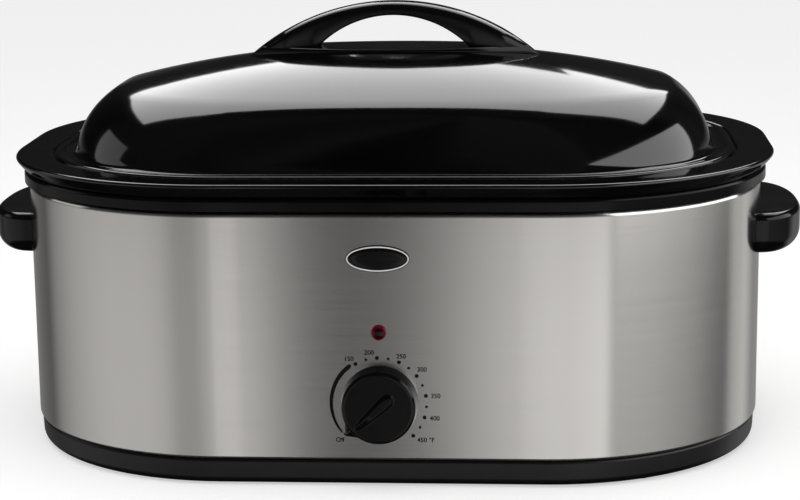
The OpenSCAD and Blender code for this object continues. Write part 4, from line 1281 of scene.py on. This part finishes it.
def softbox(name, at, aim, size, strength, lit=True, reflected=True):
    """A rectangular lamp at a place, turned towards a point; it may only light or only reflect."""
    data = bpy.data.lights.new(name, "AREA")
    data.shape = "RECTANGLE"
    data.size, data.size_y = size
    data.energy = strength * size[0] * size[1] * pi
    lamp = bpy.data.objects.new(name, data)
    turn = (Vector(aim) - Vector(at)).to_track_quat("-Z", "Y").to_matrix().to_4x4()
    lamp.matrix_world = Matrix.Translation(at) @ turn
    lamp.visible_camera = False
    lamp.visible_diffuse = lit
    lamp.visible_glossy = reflected
    bpy.context.scene.collection.objects.link(lamp)


# The studio round the oven: angle from the front towards the right, and brightness
ROOM = [(-180, 0.3), (-125, 0.12), (-116, 0.32), (-100, 0.5), (-83, 0.65), (-70, 0.72), (-48, 0.74),
        (-38, 0.68), (-29, 0.5), (-20, 0.5), (-12, 0.7), (-8.6, 1.25), (-7.6, 1.1), (-7.1, 0.05),
        (-6.2, 0.01), (-4.6, 0.07), (-3.2, 0.22), (-2, 0.68), (-0.8, 1.05), (4, 1.05), (14, 1.05),
        (22, 1.1), (32, 1.15), (37, 0.6), (60, 0.52), (82, 0.38), (100, 0.22), (112, 0.13),
        (120, 0.5), (134, 0.7), (148, 0.3), (180, 0.3)]
ROOM_PEAK = 1.4
ROOM_REST = 0.06
ROOM_FILL = 0.55
FLOOR_HALF = 6
FLOOR_DROP = 0.2 * MM
FLOOR_GLOW = 1.75
FLOOR_GLOW_SHARE = 0.3


def light_the_room():
    """White for the camera; glosses show a studio that is bright in a band below the horizon."""
    world = bpy.data.worlds.new("studio")
    bpy.context.scene.world = world
    tree = Tree(world)
    way = tree.node("ShaderNodeSeparateXYZ", tree.node("ShaderNodeTexCoord", out="Generated"))
    x, y, z = way, way.part("Y"), way.part("Z")
    turn = tree.node("ShaderNodeMath", x, 0 - y, operation="ARCTAN2") / (2 * pi) + 0.5
    level = tree.node("ShaderNodeValToRGB", turn, stops=[
        ((angle + 180) / 360, grey(value / ROOM_PEAK)) for angle, value in ROOM])
    below = (1 - z.between(-0.12, 0.06)) * z.between(-0.62, -0.42)
    shown = level * ROOM_PEAK * (ROOM_REST + below * (1 - ROOM_REST))
    rays = tree.node("ShaderNodeLightPath", out="Is Camera Ray")
    gloss = rays.part("Is Glossy Ray")
    glass = rays.part("Is Transmission Ray")
    unseen = gloss * shown + (1 - gloss) * (glass + (1 - glass) * ROOM_FILL)
    strength = rays + (1 - rays) * unseen
    background = tree.node("ShaderNodeBackground", grey(1), strength)
    tree.node("ShaderNodeOutputWorld", background)


def make_floor():
    """A pale floor that keeps the shadow; the far part melts into the white background."""
    work = bmesh.new()
    place = Matrix.Translation((0, 0, -FLOOR_DROP))
    bmesh.ops.create_grid(work, x_segments=1, y_segments=1, size=FLOOR_HALF, matrix=place)
    floor = bpy.data.objects.new("floor", mesh_of(work, "floor"))
    bpy.context.scene.collection.objects.link(floor)
    made = bpy.data.materials.new("pale_floor")
    tree = Tree(made)
    matt = tree.node("ShaderNodeBsdfDiffuse", grey(0.86))
    glow = tree.node("ShaderNodeEmission", grey(1), FLOOR_GLOW)
    rays = tree.node("ShaderNodeLightPath", out="Is Camera Ray")
    shader = tree.node("ShaderNodeMixShader", rays * FLOOR_GLOW_SHARE, matt, glow)
    tree.node("ShaderNodeOutputMaterial", shader)
    floor.data.materials.append(made)
    floor.visible_glossy = False


def light_the_stage():
    softbox("overhead", (0.0, -0.5, 1.9), (0.0, -0.2, 0.0), (1.8, 1.6), 1.9, reflected=False)
    softbox("ceiling", (0.0, 1.5, 1.6), (0.0, 1.5, 0.0), (2.6, 2.6), 3.6, lit=False)
    for x in (-0.85, 0.85):
        softbox("ceiling_wing", (x, 3.2, 1.6), (x, 3.2, 0.0), (0.9, 0.8), 3.6, lit=False)
    softbox("right_panel", (1.9, -0.45, 0.85), (0.0, 0.0, 0.35), (3.4, 1.3), 2.6, lit=False)
    softbox("left_panel", (-1.9, 0.2, 0.75), (0.0, 0.0, 0.25), (0.9, 0.8), 0.7, lit=False)
    softbox("front_fill", (0.6, -2.4, 1.3), (0.0, 0.0, 0.1), (0.9, 0.6), 0.8, reflected=False)


def use_plain_view():
    bpy.context.scene.view_settings.view_transform = "Standard"


# ---- Putting it together -----------------------------------------------------

def dress_cad(materials):
    """Every CAD node gets the material of its slot in the record."""
    for part in frame["record"]["subparts"]:
        node = frame["nodes"].get(part["node"])
        if node is None:
            continue
        material = materials[part["material_slot"]]
        slots = node.material_slots
        if slots:
            for slot in slots:
                slot.link = "OBJECT"
                slot.material = material
        else:
            node.data.materials.append(material)


def main():
    place_camera()
    use_plain_view()
    light_the_room()
    light_the_stage()
    make_floor()
    materials = make_materials()
    dress_cad(materials)
    make_wrap(materials)
    make_collar(materials)
    make_base(materials)
    make_pan(materials)
    make_lid(materials)
    make_lid_handle(materials)
    make_side_handles(materials)
    make_knob(materials)
    ink = printed_ink()
    make_dial_numbers(ink)
    make_dial_dots(ink)
    make_dial_sweep(ink)
    make_badge(materials)
    make_lamp(materials)
    make_bottom_screws(materials)
    make_feet(materials)
    refine_the_rest(materials)


main()
bpy.context.view_layer.update()
